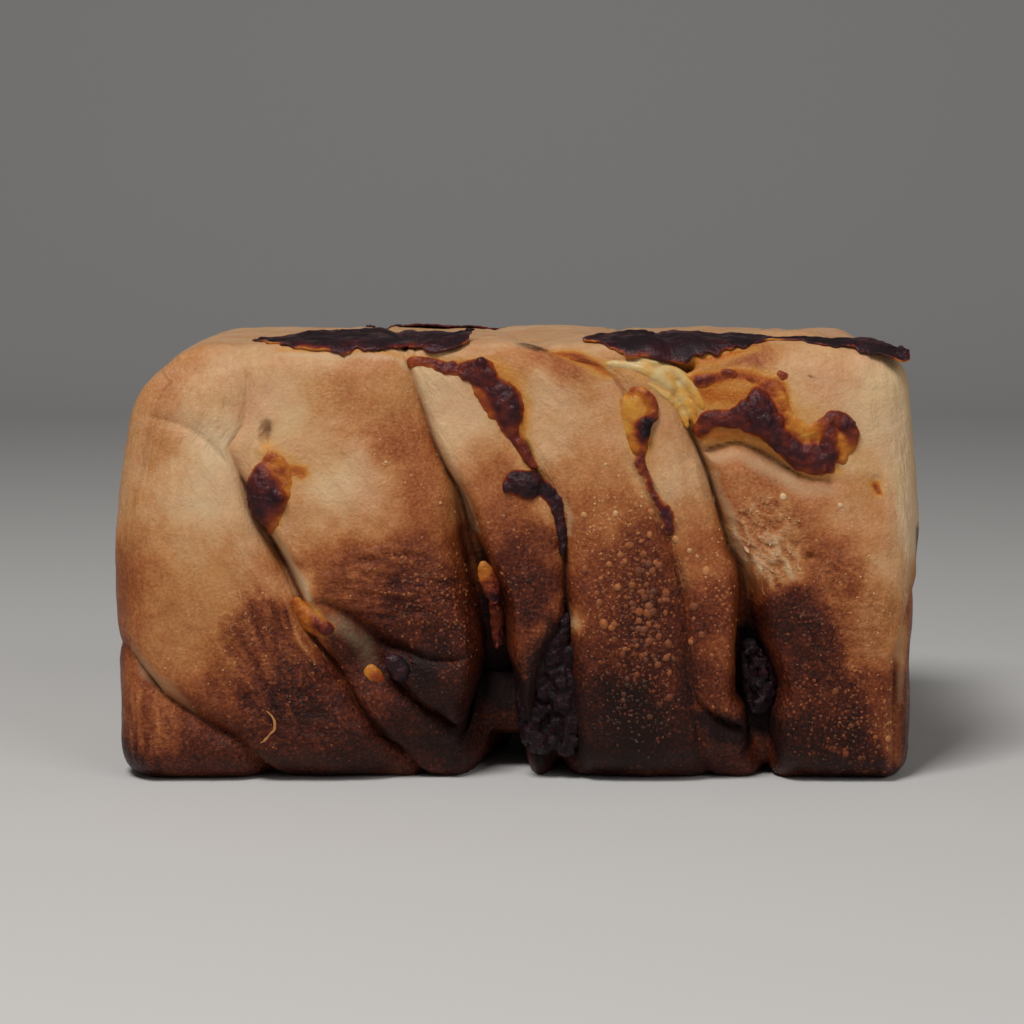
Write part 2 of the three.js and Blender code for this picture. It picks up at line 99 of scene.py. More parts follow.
# main folds: share of the grid's columns left of it, west and east width, rows of (along, up, depth, floor)
MAIN_FOLDS = [
    # left lobe against the second strand, open half way down
    (11 / 48, 4.2, 3.6, [
        (-70, TOP_END, 0.3, 0), (-70.5, 117, 0.5, 0), (-68, 96, 0.9, 0), (-69, 88, 1.2, 0),
        (-71.8, 83, 2, 0), (-69.2, 77.5, 3.5, 0), (-66.5, 72, 6, 0.2), (-62.5, 63, 8, 0.5),
        (-59.8, 58, 8.5, 0.8), (-56.6, 52.5, 8, 0.9), (-53.6, 46, 7, 0.7), (-51.8, 40, 6, 0.3),
        (-49.6, 35.5, 5.5, 0), (-45.6, 30.4, 5.5, 0), (-42, 24.8, 5.5, 0), (-39.2, 20, 5.5, 0),
        (-35.5, 15, 5.5, 0), (-31.5, 10, 5, 0), (-28.5, 2.6, 5, 0), (-20, -20, 3, 0),
        (-13, UNDER_END, 2, 0)]),
    # deep cleft in the middle, which opens into the hollow underneath
    (20 / 48, 6.5, 3.6, [
        (-34.5, TOP_END, 1.5, 0), (-28.7, 117, 2, 0), (-27.7, 106, 2.8, 0), (-25.8, 98, 4, 0),
        (-23.5, 92, 5, 0), (-21.3, 85.6, 6, 0), (-19.2, 80.7, 7, 0), (-16.4, 75.4, 8.5, 0.2),
        (-14.4, 71.5, 10, 0.8), (-12.7, 65, 13, 1.5), (-11.6, 59, 15, 2), (-9.4, 52, 17, 2.6),
        (-7.0, 45, 18, 3.2), (-5.8, 38, 19, 2.8), (-5.2, 31, 21, 2.8), (-4.7, 25, 24, 3.8),
        (-5.3, 20, 26, 4.8), (-5, 15, 27, 6.5), (-3, 8, 27, 7.5), (-2.5, 1, 26, 7.5), (-3, -16, 12, 5),
        (1.5, UNDER_END, 2, 0)]),
    # narrow strand against the broad one
    (26 / 48, 4.2, 4.5, [
        (-24, TOP_END, 0.5, 0), (-26.5, 116, 0.8, 0), (-21.5, 104.5, 2, 0), (-13.4, 101.7, 3, 0),
        (-8.5, 99.4, 3.5, 0), (-4, 94.5, 3.5, 0), (-1.4, 87.2, 3.5, 0), (2, 81.5, 3.5, 0),
        (5.5, 76, 3.5, 0), (9.2, 70.4, 4, 0), (10.8, 64.8, 4.5, 0.2), (11.5, 59, 4.5, 0.3),
        (12, 49.8, 4.5, 0.3), (12.4, 44.7, 5, 0.4), (11.8, 38, 6, 1), (10, 30, 7, 3), (9, 20, 8, 4),
        (10, 8, 9, 4), (11, -16, 4, 1), (16, UNDER_END, 2, 0)]),
    # soft groove down the broad strand
    (33 / 48, 9, 8, [
        (-4, TOP_END, 1.5, 0), (8, 114, 1.6, 0), (20.3, 104, 2.2, 0), (26, 97, 2.8, 0), (29.5, 89, 3, 0),
        (31, 80.5, 3, 0), (33.7, 71.5, 2.8, 0), (37.2, 63, 2.8, 0), (39.5, 53, 2.6, 0), (41.3, 45, 2.4, 0),
        (42, 36, 2.4, 0), (42, 29, 2.2, 0), (43.5, 22, 2, 0), (46, 4, 1.5, 0), (57, UNDER_END, 1.5, 0)]),
    # deep fold against the right lobe, with the burnt pocket low down in it
    (38 / 48, 3.8, 4.6, [
        (31.5, TOP_END, 2, 0), (39.5, HEIGHT, 4, 0), (41, 98, 4.5, 0), (42.2, 90.7, 5, 0),
        (45.1, 82.9, 7, 0), (47.4, 76.7, 8, 0), (49.4, 69.2, 8.5, 0.2), (50.9, 63.9, 9, 0.3),
        (52.8, 57.9, 9, 0.4), (55.3, 53, 10, 0.7), (56.8, 47, 12, 1.5), (57.1, 41, 14, 1.9),
        (57.5, 34, 16, 2.9), (58.8, 28, 17, 4), (59.6, 23.5, 17, 4.6), (60, 20.5, 13, 3.5),
        (60, 17, 10, 2.6), (60.5, 10, 11, 2.6), (61, 4, 10, 2.6), (63, -16, 3, 1),
        (74, UNDER_END, 1, 0)]),
]
# minor folds: west and east width (on a level fold: below and above it) and rows
MINOR_FOLDS = [
    # pale dome above the left lobe
    (5, 6, [(-103, 92, 0.6, 0), (-92, 90, 1, 0), (-84.4, 88.3, 1.3, 0), (-77.9, 84.9, 1.4, 0),
            (-72.2, 79.5, 1.2, 0)]),
    # level fold under the pale ledge
    (9, 3, [(46.4, 82, 3, 0), (47.6, 82.4, 4.5, 0), (50.5, 83.4, 4.5, 0), (55.6, 84.2, 4.5, 0),
            (62.8, 81, 4.5, 0), (70.1, 76.5, 2.8, 0), (77, 75, 1, 0), (84, 74.6, 0.1, 0)]),
    # tucked-in foot at the left end
    (8, 6, [(-END_END, 35, 0.8, 0), (-106, 34, 1.2, 0), (-99.5, 32, 2.6, 0), (-93.7, 28, 4.5, 0),
            (-85.5, 21.5, 5, 0), (-75.7, 15.6, 5, 0), (-68.3, 10.8, 5, 0), (-63.3, 2, 5, 0),
            (-61, -10, 4, 0), (-53, UNDER_END, 2, 0)]),
    # tucked-in foot at the right end
    (5, 6, [(END_END, 47, 0.8, 0), (106.8, 47, 1, 0), (102.1, 45, 1.2, 0), (98.6, 41.1, 1.8, 0),
            (96.9, 35.5, 2.5, 0), (94.6, 29.8, 2.8, 0), (94.3, 23.7, 2.8, 0), (94.7, 16.5, 2.5, 0),
            (95, 4, 2, 0)]),
    # torn lip of the second strand: over its recess, and over its pointed flap
    (9, 2.5, [(-48.1, 45.6, 1.5, 0), (-43.3, 43.8, 3.5, 0), (-37.1, 39.7, 5, 0), (-33, 36, 5.5, 0),
              (-27.5, 33.8, 5, 0)]),
    (4, 2, [(-28.5, 34, 4, 0), (-22.2, 31.5, 2.6, 0), (-16.5, 31.2, 2.2, 0), (-11.6, 32, 2.6, 0),
            (-8.7, 32, 3.5, 0)]),
    # lower edge of the flap
    (13, 1.6, [(-31.5, 30, 4, 0), (-29.4, 26.9, 5, 0), (-27.3, 23.8, 6, 0), (-23.6, 20.5, 6.5, 0),
               (-18.7, 17.6, 7, 0), (-15.3, 15.2, 7.5, 0), (-12.6, 16.8, 8, 0)]),
    # foot of the right half of the broad strand
    (7, 2, [(42.5, 25, 1.2, 0), (44.5, 21.5, 2.5, 0), (48, 18.2, 3.5, 0), (52, 15.8, 4.5, 0),
            (58, 14.2, 5, 0)]),
]
FOLD_STEPS = 60


def smooth_line(rows, steps):
    """Smooth line through the rows, in equal shares between them."""
    p = np.array(rows, float)
    p = np.vstack([2 * p[0] - p[1], p, 2 * p[-1] - p[-2]])
    t = np.linspace(0, len(rows) - 1, steps + 1)
    i = np.minimum(t.astype(int), len(rows) - 2)
    s = (t - i)[:, None]
    a, b, c, d = p[i], p[i + 1], p[i + 2], p[i + 3]
    return b + s / 2 * (c - a + s * (2 * a - 5 * b + 4 * c - d + s * (3 * b - a - 3 * c + d)))


main_lines = [smooth_line(rows, FOLD_STEPS) for _, _, _, rows in MAIN_FOLDS]
folds = [(line, west, east) for line, (_, west, east, _) in zip(main_lines, MAIN_FOLDS)]
folds += [(smooth_line(rows, FOLD_STEPS // 2), west, east) for west, east, rows in MINOR_FOLDS]
print("folds:", len(folds))

# %% [markdown]
# ## Relief of the dough
# The dough on either side of a fold rolls in like the edge of a cushion, so its profile is a quarter of an
# ellipse. Where folds meet, the deeper one wins. Broad swellings and hollows are added on top of that, and
# a few small pits with steep sides.

# %% Swells and pits
# along, up, reach along, reach up, rise
SWELLS = [
    (-37, 31, 9, 7, -3.5),
    (-24, 7, 12, 9, -4),
    (-97, 56, 22, 24, 1.8),
    (-38, 68, 17, 24, 2.2),
    (27, 50, 12, 34, 2),
    (46, 68, 7, 26, -1.5),
    (54, 6, 8, 9, -3),
    (77, 48, 14, 24, 2.5),
    (70, 92, 24, 9, 1.8),
    (106, 84, 12, 26, 2.0),
    (-106, 16, 12, 18, 1.6),
]
# along, up, half width, half height, depth: dimple over the burst, hole in the right lobe, small dent, cavity
PITS = [
    (-62.6, 86.3, 1.5, 3.2, 2.4),
    (71.5, 56.7, 1.1, 1.1, 1.6),
    (88.7, 74, 1.4, 2.6, 0.8),
    (40.5, 103.6, 4.5, 2.4, 6),
]


def spots(rows, along, up):
    """Sum of soft round spots, each given by its place, its two reaches and its strength."""
    total = np.zeros(along.shape)
    for x, z, wide, tall, strength in rows:
        total += strength * np.exp(-((along - x) / wide) ** 2 - ((up - z) / tall) ** 2)
    return total


def pits(along, up):
    total = np.zeros(along.shape)
    for x, z, wide, tall, depth in PITS:
        total += depth * (1 - smoothstep(np.hypot((along - x) / wide, (up - z) / tall), 0.6, 1.3))
    return total


print("swells:", len(SWELLS), "pits:", len(PITS))

# %% [markdown]
# A fold's line is a string of short straight pieces. The nearest piece is looked for with all points at
# once, because the loaf has many thousands of them. The side on which a point lies tells which of the
# fold's two widths counts for it.

# %% How far a point is from a fold
def nearest_on_line(line, along, up):
    """Distance to a line, whether the point is east of it, and the line's further values there."""
    best = np.full(along.shape, np.inf)
    east = np.zeros(along.shape, bool)
    piece = np.zeros(along.shape, int)
    share = np.zeros(along.shape)
    for i, (a, b) in enumerate(zip(line[:-1], line[1:])):
        run, climb = b[:2] - a[:2]
        s = np.clip(((along - a[0]) * run + (up - a[1]) * climb) / (run * run + climb * climb), 0, 1)
        gap = np.hypot(along - a[0] - s * run, up - a[1] - s * climb)
        nearer = gap < best
        best = np.where(nearer, gap, best)
        east = np.where(nearer, run * (up - a[1]) - climb * (along - a[0]) > 0, east)
        piece = np.where(nearer, i, piece)
        share = np.where(nearer, s, share)
    return best, east, lerp(line[piece, 2:], line[piece + 1, 2:], share[:, None]).T


middle_cleft = main_lines[1]
gap, _, _ = nearest_on_line(middle_cleft, np.zeros(1), np.zeros(1))
print("from the middle of the foot to the cleft:", gap, "mm")

# %% [markdown]
# With that the relief is the swellings, less the deepest fold at each place, less the pits.

# %% Relief on the unrolled skin
def relief(along, up):
    deepest = np.zeros(along.shape)
    for line, west, east_width in folds:
        gap, east, (depth, floor) = nearest_on_line(line, along, up)
        close = np.clip(1 - np.maximum(gap - floor, 0) / np.where(east, east_width, west), 0, 1)
        deepest = np.maximum(deepest, depth * (1 - np.sqrt(1 - close * close)))
    return spots(SWELLS, along, up) - deepest - pits(along, up)


print("relief at the foot of the cleft:", relief(np.array([-3.0]), np.array([8.0])), "mm")

# %% [markdown]
# The label has to be laid round the block. There is only one, for the half that is seen from the front:
# the hidden half takes it too, after half a turn, and the two fade into each other across the middle.

# %% Laying the label round the block
def unroll(block):
    """Place of the block's points on the label of the shown half."""
    x, y, z = block.T
    inward = y + HALF_DEPTH
    top, under = z >= HEIGHT - EDGE, z <= EDGE
    on_end = (np.abs(x) >= HALF_LENGTH - EDGE) & ~top & ~under
    along = x + np.where(on_end, np.sign(x) * inward, 0)
    return along, np.where(top, HEIGHT + inward, np.where(under, -inward, z))


HALF_TURN = np.array([-1.0, -1.0, 1.0])


def on_both_halves(block, read):
    """The hidden half repeats the shown one after half a turn, and the two fade into each other."""
    hidden = smoothstep(block[:, 1], -BLEND, BLEND)
    return lerp(read(*unroll(block)), read(*unroll(block * HALF_TURN)), hidden)


on_top = np.array([[0.0, -20.0, HEIGHT]])
print("a point on the top is on the label at", [float(value[0]) for value in unroll(on_top)])

# %% [markdown]
# ## The rounded block
# Every point of the plain block is moved onto a block with rounded edges, the way a clay block is worked
# with the palm: corners far more than long edges, the foot more than the top. The loaf then settles a
# little under its own weight, which flattens the spots it stands on.

# %% From the plain block to the skin of the loaf
def rounding(block):
    x, y, z = block.T
    up = np.clip(z / HEIGHT, 0, 1)
    at_end = smoothstep(np.abs(x), HALF_LENGTH - CORNER["reach"], HALF_LENGTH)
    to_right = smoothstep(x, -HALF_LENGTH / 2, HALF_LENGTH / 2)
    corner = lerp(CORNER["foot"], lerp(CORNER["left"], CORNER["right"], to_right), up)
    across = lerp(FOOT_EDGE["across"], TOP_EDGE["across"], up)
    upward = lerp(lerp(FOOT_EDGE["up"], TOP_EDGE["up"], up), corner, at_end)
    return np.stack([corner, across, upward], axis=1)


def skin(block, lift):
    """Points of the loaf's skin under points of the block, moved outwards by lift."""
    radii = rounding(block)
    low = np.array([-HALF_LENGTH, -HALF_DEPTH, 0])
    inner = np.clip(block, low + radii, np.array([HALF_LENGTH, HALF_DEPTH, HEIGHT]) - radii)
    away = (block - inner) / radii
    away /= np.linalg.norm(away, axis=1, keepdims=True)
    outward = away / radii
    outward /= np.linalg.norm(outward, axis=1, keepdims=True)
    point = inner + away * radii + outward * np.asarray(lift)[:, None]
    point[:, 0] *= 1 - TAPER["along"] * smoothstep(point[:, 2], TAPER_START["along"], HEIGHT)
    point[:, 1] *= 1 - TAPER["across"] * smoothstep(point[:, 2], TAPER_START["across"], HEIGHT)
    point[:, 2] -= SETTLE * (1 - smoothstep(point[:, 2], 0, SETTLE_REACH))
    return point


def roll_up(along, up):
    """Points of the block at places on the label of the shown half."""
    along, up = np.asarray(along, float), np.asarray(up, float)
    past_end = np.maximum(np.abs(along) - HALF_LENGTH, 0)
    past_edge = np.maximum(np.maximum(up - HEIGHT, -up), 0)
    x = np.clip(along, -HALF_LENGTH, HALF_LENGTH)
    return np.stack([x, past_end + past_edge - HALF_DEPTH, np.clip(up, 0, HEIGHT)], axis=1)


print("middle of the front's upper edge:", skin(roll_up([0], [HEIGHT]), [0.0])[0].round(1), "mm")

# %% [markdown]
# ## The mesh of the dough
# A cube is cut into a grid, with a finer one on the shown side. The grid's columns are then pushed
# sideways until they run along the folds and crowd there, so that each crease gets its own row of vertices
# and stays crisp.

# %% Grid of the dough
CUTS = {"x": 147, "y": 47, "z": 79}


def cut_cube(cuts):
    bm = bmesh.new()
    bmesh.ops.create_cube(bm, size=1)
    for axis, count in enumerate(cuts):
        edges = [e for e in bm.edges if abs(e.verts[0].co[axis] - e.verts[1].co[axis]) > 0.5]
        bmesh.ops.subdivide_edges(bm, edges=edges, cuts=count, use_grid_fill=True)
    return bm


bm = cut_cube(CUTS.values())
front = [f for f in bm.faces if f.calc_center_median().y < -0.5 + EDGE]
bmesh.ops.subdivide_edges(bm, edges=list({e for f in front for e in f.edges}), cuts=1, use_grid_fill=True)
dough_mesh = bpy.data.meshes.new("dough_skin")
bm.to_mesh(dough_mesh)
bm.free()

unit = np.empty(len(dough_mesh.vertices) * 3)
dough_mesh.vertices.foreach_get("co", unit)
in_strand = unit.reshape(-1, 3) * [LENGTH, DEPTH, HEIGHT]
block = in_strand + [0, 0, HEIGHT / 2]
print("dough:", len(dough_mesh.vertices), "vertices,", len(dough_mesh.polygons), "faces")

# %% [markdown]
# The columns are drawn to the main folds by shares: a column that lies a third of the way from one fold to
# the next at the top still does so at the foot. Halfway through the loaf the columns are straight again.

# %% Columns along the folds
# share of the way by which the columns crowd towards the folds
CROWDING = 0.4


def along_folds(block, turned):
    """Sideways place of the grid's columns when they follow the main folds of one half."""
    share = block[:, 0] / LENGTH + 0.5
    _, up = unroll(block * HALF_TURN if turned else block)
    stops = [np.interp(up, line[::-1, 1], line[::-1, 0]) for line in main_lines]
    shares = [fold[0] for fold in MAIN_FOLDS]
    if turned:
        stops = [-stop for stop in stops[::-1]]
    stops = np.stack([np.full(len(up), -HALF_LENGTH), *stops, np.full(len(up), HALF_LENGTH)])
    shares = np.array([0, *shares, 1])
    k = np.clip(np.searchsorted(shares, share, side="right") - 1, 0, len(shares) - 2)
    s = (share - shares[k]) / (shares[k + 1] - shares[k])
    s = lerp(s, (1 - np.cos(np.pi * s)) / 2, CROWDING)
    row = np.arange(len(up))
    return lerp(stops[k, row], stops[k + 1, row], s)


inside = np.abs(block[:, 0]) < HALF_LENGTH - EDGE
near = 1 - smoothstep(block[:, 1], -HALF_DEPTH, 0)
far = smoothstep(block[:, 1], 0, HALF_DEPTH)
followed = near * along_folds(block, False) + far * along_folds(block, True) + (1 - near - far) * block[:, 0]
block[:, 0] = np.where(inside, followed, block[:, 0])
shown_along, shown_up = unroll(block)
shown = 1 - smoothstep(block[:, 1], -BLEND, BLEND)
print("columns moved by up to", round(float(np.abs(block[:, 0] - in_strand[:, 0]).max()), 1), "mm")

# %% [markdown]
# ## Skin of the dough
# Dough that was pulled and twisted has low lumps, and fine wrinkles that run along the strands. Both are
# soft noise in layers. Real displacement of the vertices is used rather than a bump in the material, because
# the lumps show in the outline.

# %% Lumps and wrinkles
# height in millimetres, length of a wave (one, or one for each axis) and seed
LUMPS = [(0.8, 26, 3.1), (0.35, 11, 7.7), (0.16, 5, 2.2)]
WRINKLES = [(0.27, (3.4, 4.0, 14.0), 1.3), (0.16, (1.8, 2.2, 4.5), 6.4)]
WAVER, WAVER_SIZE, WAVER_SEEDS = 2.2, 8, (17.1, 18.3, 19.9)


def ripple(points, size, seed):
    """Soft noise of about one wave in each `size` millimetres, a number or one for each axis."""
    return np.array([noise.noise(Vector(p)) for p in points / np.array(size) + seed])


def layers(points, rows):
    """Sum of ripples, each given by its height, its size and its seed."""
    return sum(height * ripple(points, size, seed) for height, size, seed in rows)


plain = skin(block, np.zeros(len(block)))
lumps = layers(plain, LUMPS)
wavy = in_strand + WAVER * np.stack([ripple(plain, WAVER_SIZE, seed) for seed in WAVER_SEEDS], axis=1)
wrinkles = layers(wavy, WRINKLES)
print("lumps up to", round(float(lumps.max()), 2), "mm")
print("wrinkles up to", round(float(wrinkles.max()), 2), "mm")

# %% [markdown]
# Where the crust tore while it rose, it is crumpled or drawn into fibres. A torn zone is a soft-edged patch
# on the front, and in it a noise of its own is added: sharp ridges for crumpled skin, long waves along the
# strand for fibres, and level ones where the skin was drawn out.

# %% Tears in the crust
TEAR_SLANT = math.radians(-35)
TEAR_BEND = 1.2
RIDGE_SHARPNESS, RIDGE_LEVEL = 3.6, 0.3
CRUMPLE_RISE, FIBRE_RISE, DRAWN_RISE, LOOSE_EDGE_RISE = 1.0, 1.1, 0.9, 1.8
# middle of a zone (along, up), its half width, half height and strength
CRUMPLED = [(61, 62, 11, 10, 1), (80, 40, 12, 24, 0.35)]
FIBROUS = [(62.5, 53, 8, 5, 1), (-60, 32, 15, 18, 0.75), (-91, 15, 9, 14, 0.6)]
DRAWN_OUT = [(-30, 50, 20, 11, 1), (-45, 20, 16, 12, 0.5)]
LOOSE_EDGE = [(71, 135, 11, 7, 1)]


def zone(rows):
    """Soft-edged patches of the shown half, of their strength inside and 0 outside."""
    total = np.zeros(len(shown))
    for x, z, wide, tall, strength in rows:
        away = np.hypot((shown_along - x) / wide, (shown_up - z) / tall)
        total += strength * (shown * (1 - smoothstep(away, 0.6, 1.15)))
    return total


tear_ways = plain @ np.array([[math.cos(TEAR_SLANT), 0, math.sin(TEAR_SLANT)], [0, 1, 0],
                              [-math.sin(TEAR_SLANT), 0, math.cos(TEAR_SLANT)]]).T
bent = tear_ways + TEAR_BEND * ripple(plain, 5, 3.7)[:, None]
ridges = RIDGE_SHARPNESS * np.abs(ripple(bent, (4.4, 3.0, 1.9), 9.4))
crumple = np.clip(1 - ridges, 0, 1) - RIDGE_LEVEL
fibres = ripple(in_strand, (1.6, 2.0, 7.0), 4.6)
drawn_out = ripple(plain, (8.0, 3.0, 1.7), 4.1)
crumpled_zone, fibrous_zone, drawn_zone = zone(CRUMPLED), zone(FIBROUS), zone(DRAWN_OUT)
tears = CRUMPLE_RISE * crumple * crumpled_zone + FIBRE_RISE * fibres * fibrous_zone
tears += DRAWN_RISE * drawn_out * drawn_zone
tears += LOOSE_EDGE_RISE * zone(LOOSE_EDGE)
print("tears from", round(float(tears.min()), 2), "to", round(float(tears.max()), 2), "mm")

# %% [markdown]
# Now everything is put together: the relief of the folds, the lumps, the wrinkles and the tears lift the skin
# of the rounded block. What would sink below the table is flattened on it.

# %% Form of the loaf
lift = on_both_halves(block, relief) + lumps + wrinkles + tears
points = skin(block, lift)
points[:, 2] = np.maximum(points[:, 2], 0)
dough_mesh.vertices.foreach_set("co", (points * MM).ravel())
dough_mesh.update()
dough_mesh.shade_smooth()
dough = bpy.data.objects.new("loaf_dough", dough_mesh)
scene.collection.objects.link(dough)
print("relief from", round(float(lift.min()), 1), "to", round(float(lift.max()), 1), "mm")

# %% [markdown]
# ## Browning and painted shade
# The crust is not one colour. It is pale where it lay against another strand or under a fold, golden on
# the shoulders, and dark brown where it stuck out of the tin. Low on the loaf, and most of all in the recess
# under the flap, the tone is darker still as painted shade, for the shadow that falls there. The amount of
# browning and shade is a number from 0, pale, to 1, nearly black. It is named at a few places of each strand
# and blended between them; a place counts only for its own strand, so that the tone may jump at a fold as it
# does on the real loaf.

# %% Browning and painted shade of the strands
# rows of (along, up, reach, browning with painted shade)
BROWNING_AND_SHADE = {
    "pale dome": [(-85, 98, 12, 0.34), (-73, 102, 8, 0.11), (-81.5, 90, 6, 0.05), (-75, 85, 5, -0.08)],
    "left lobe": [
        (-98, 82, 8, 0.27), (-80, 70, 7, -0.01), (-88, 66, 9, 0.28), (-70.6, 73, 5, 0.18),
        (-90, 51, 9, 0.51), (-82, 56, 7, 0.27), (-72.5, 56, 7, 0.3), (-67.7, 63, 5, 0.16),
        (-77.5, 46, 7, 0.27), (-56, 48, 3, 0.27), (-60, 41, 5, 0.68), (-68, 36, 7, 0.59), (-51, 36, 4, 0.5),
        (-63, 27, 7, 0.76), (-53, 22, 6, 0.9), (-44, 24, 4, 0.8), (-46, 17, 5, 0.95), (-82, 36, 8, 0.34),
        (-73, 24, 7, 0.66), (-61, 12, 7, 0.8), (-49, 7, 8, 0.86)],
    "left foot": [(-97.7, 23, 5, 0.5), (-91, 14.5, 6, 0.56), (-95, 4, 6, 0.94), (-80.6, 8, 6, 0.83),
                  (-88.5, 22, 3, 0.5)],
    "second strand": [
        (-62.5, 102, 8, 0.18), (-59.6, 95, 6, 0.12), (-54.8, 102, 6, 0.15), (-44.6, 97, 6, 0.33),
        (-34, 95, 7, 0.36),
        (-46.7, 90, 6, 0.25), (-29, 87, 5, 0.51), (-24, 78, 5, 0.47), (-26, 70, 5, 0.53),
        (-43, 68, 7, 0.09), (-33.5, 70, 6, 0.22), (-53, 65, 5, 0.31), (-60, 70, 4, 0.15),
        (-50, 56, 4, 0.52), (-48, 60, 4, 0.45), (-38, 60, 6, 0.64), (-28, 56, 6, 0.67), (-16, 56, 4, 0.62),
        (-41, 51, 6, 0.6), (-24, 46, 7, 0.82), (-14, 41, 5, 0.78), (-46, 48.5, 4, 0.56), (-53, 51, 3, 0.1),
        (-36, 45, 4, 0.75), (-28.6, 41, 4, 0.85), (-19, 37, 4, 0.95)],
    # under the flap the near-black tones are painted shade of the overhang, on dough that is paler
    "flap and what is under it": [(-24, 28, 4, 1.06), (-14, 28.5, 4, 0.88), (-19, 22, 4, 0.97),
                                  (-24, 12, 6, 0.96), (-34, 11, 6, 0.9), (-41, 17, 5, 0.8),
                                  (-16, 10, 4, 0.93), (-38, 34, 5, 0.84)],
    "narrow strand": [
        (-19.4, 95, 5, 0.1), (-16.7, 87, 5, 0.1), (-13, 80, 5, 0.25), (-9, 73, 5, 0.46),
        (-6.5, 75.5, 4, 0.54), (-4, 65, 5, 0.62), (1, 56, 5, 0.83), (3, 46, 5, 0.84), (1, 36, 4, 0.72),
        (7, 48, 3, 0.8), (5.6, 60, 3, 0.76), (8, 56, 2, 0.5), (9.6, 46, 2, 0.55), (5.7, 38, 2, 0.52)],
    "broad strand, left half": [
        (1, 102, 5, 0.37), (11, 105, 5, 0.53), (11, 90, 6, 0.16), (6, 97, 4, 0.17), (21, 95, 5, 0.28),
        (23.6, 102, 4, 0.3), (18, 85, 5, 0.27), (15.6, 78, 5, 0.38), (18, 66, 6, 0.46), (20, 56, 6, 0.7),
        (18, 46, 5, 0.7), (20, 34, 6, 0.75), (23, 22, 6, 1.0), (20, 10, 6, 1.0), (30, 12.6, 6, 1.06),
        (40, 12.5, 6, 0.96), (30, 56, 6, 0.76), (32.5, 41, 7, 0.83), (14, 56, 2.5, 0.5),
        (14, 41, 2.5, 0.05), (17, 26, 3, 0.8)],
    "broad strand, right half": [
        (38, 85, 5, 0.22), (43, 75, 5, 0.16), (45, 65, 5, 0.37), (48.5, 56, 5, 0.55), (50, 46, 5, 0.68),
        (51, 34, 4, 0.58), (48.7, 24, 5, 0.77), (42.4, 56, 3, 0.5), (46, 41, 4, 0.76)],
    "pale ledge": [(82, 102, 8, 0.24), (89, 95, 7, 0.03), (85, 83, 4, 0.12), (71, 99.5, 6, 0.15),
                   (55, 104, 7, 0.5)],
    "right lobe": [
        (57, 74, 6, 0.47), (69.5, 70, 6, 0.41), (82, 70, 6, 0.28), (86.6, 70, 5, 0.24), (88.5, 61, 6, 0.35),
        (76, 56, 6, 0.56), (81, 46, 6, 0.58), (89, 36, 6, 0.33), (67.5, 41.5, 5.5, 0.93), (74, 32, 6, 0.84),
        (82, 22, 7, 0.83), (67, 22, 4, 0.79), (70, 10, 6, 0.9), (82, 10, 8, 0.97), (94, 12, 5, 0.44),
        (88, 28.5, 5, 0.62), (91, 20, 4, 0.58), (66.6, 56, 4, 0.2)],
    "right end": [(100.6, 85, 8, 0.02), (97, 65, 6, -0.16), (92, 51, 5, 0.19), (88.6, 46, 4, 0.3),
                  (100, 26, 6, 0.66), (102, 13.5, 6, 0.8), (97, 33, 4, 0.18)],
}
print("places with a tone:", sum(len(rows) for rows in BROWNING_AND_SHADE.values()))

# %% [markdown]
# Between the named places the tones are blended by nearness. Their edges wander, most of all along the
# fibres of the dough. A weak tone that depends on the height alone fills in far from all of them; it is
# darker towards the foot, partly browning and partly painted shade. On the hidden half the palest tones are
# held back, and torn places are paler than the skin round them.

# %% Browning and painted shade, stored on the vertices
OTHER_STRAND = 0.02
PLAIN_WEIGHT = 0.03
# tone at the foot: browning darkened further as painted shade; tone at the top: the pale side from the tin
FOOT_TONE_AND_SHADE, TOP_TONE = 0.85, 0.2
LEAST_HIDDEN = 0.14
# distance in millimetres, length of a wave and seed
DRIFT_ALONG = [(2.4, 9, 11.3), (1.4, 3.6, 12.9)]
DRIFT_UP = [(2.4, 9, 14.7), (1.4, 3.6, 15.1)]
FIBRE_DRIFT = [(1.2, (1.9, 2.5, 14.0), 16.3)]
UNEVEN_OVEN = [(0.07, 14, 5.5)]
# how much paler crumpled, fibrous and drawn-out crust is, and how torn fibrous and drawn-out crust looks
CRUMPLE_PALER, FIBRES_PALER, DRAWN_PALER = 0.2, 0.32, 0.12
FIBRES_TORN, DRAWN_TORN = 0.6, 0.5
LOOSE_SKIN, LOOSE_SPOTS = 0.1, [(0.2, 18, 21.7)]
drift_along = layers(plain, DRIFT_ALONG)
drift_up = layers(plain, DRIFT_UP) + layers(in_strand, FIBRE_DRIFT)


def strand_of(along, up):
    return sum((along > np.interp(up, line[::-1, 1], line[::-1, 0])).astype(int) for line in main_lines)


def browning_and_shade_at(along, up):
    height = np.clip(up, 0, HEIGHT) / HEIGHT
    weight = np.full(along.shape, PLAIN_WEIGHT)
    total = PLAIN_WEIGHT * lerp(FOOT_TONE_AND_SHADE, TOP_TONE, smoothstep(height, 0.0, 0.8))
    strand = strand_of(along, up)
    along, up = along + drift_along, up + drift_up
    for rows in BROWNING_AND_SHADE.values():
        for x, z, reach, tone in rows:
            w = np.exp(-((along - x) ** 2 + (up - z) ** 2) / reach ** 2)
            w = w * np.where(strand == strand_of(np.array(x), np.array(z)), 1, OTHER_STRAND)
            weight += w
            total += w * tone
    return total / weight


def store(mesh, name, values):
    """Keep a number, or a place, on each vertex of a mesh."""
    values = np.asarray(values, np.float32)
    kind, field = ("FLOAT", "value") if values.ndim == 1 else ("FLOAT_VECTOR", "vector")
    mesh.attributes.new(name, kind, "POINT").data.foreach_set(field, values.ravel())


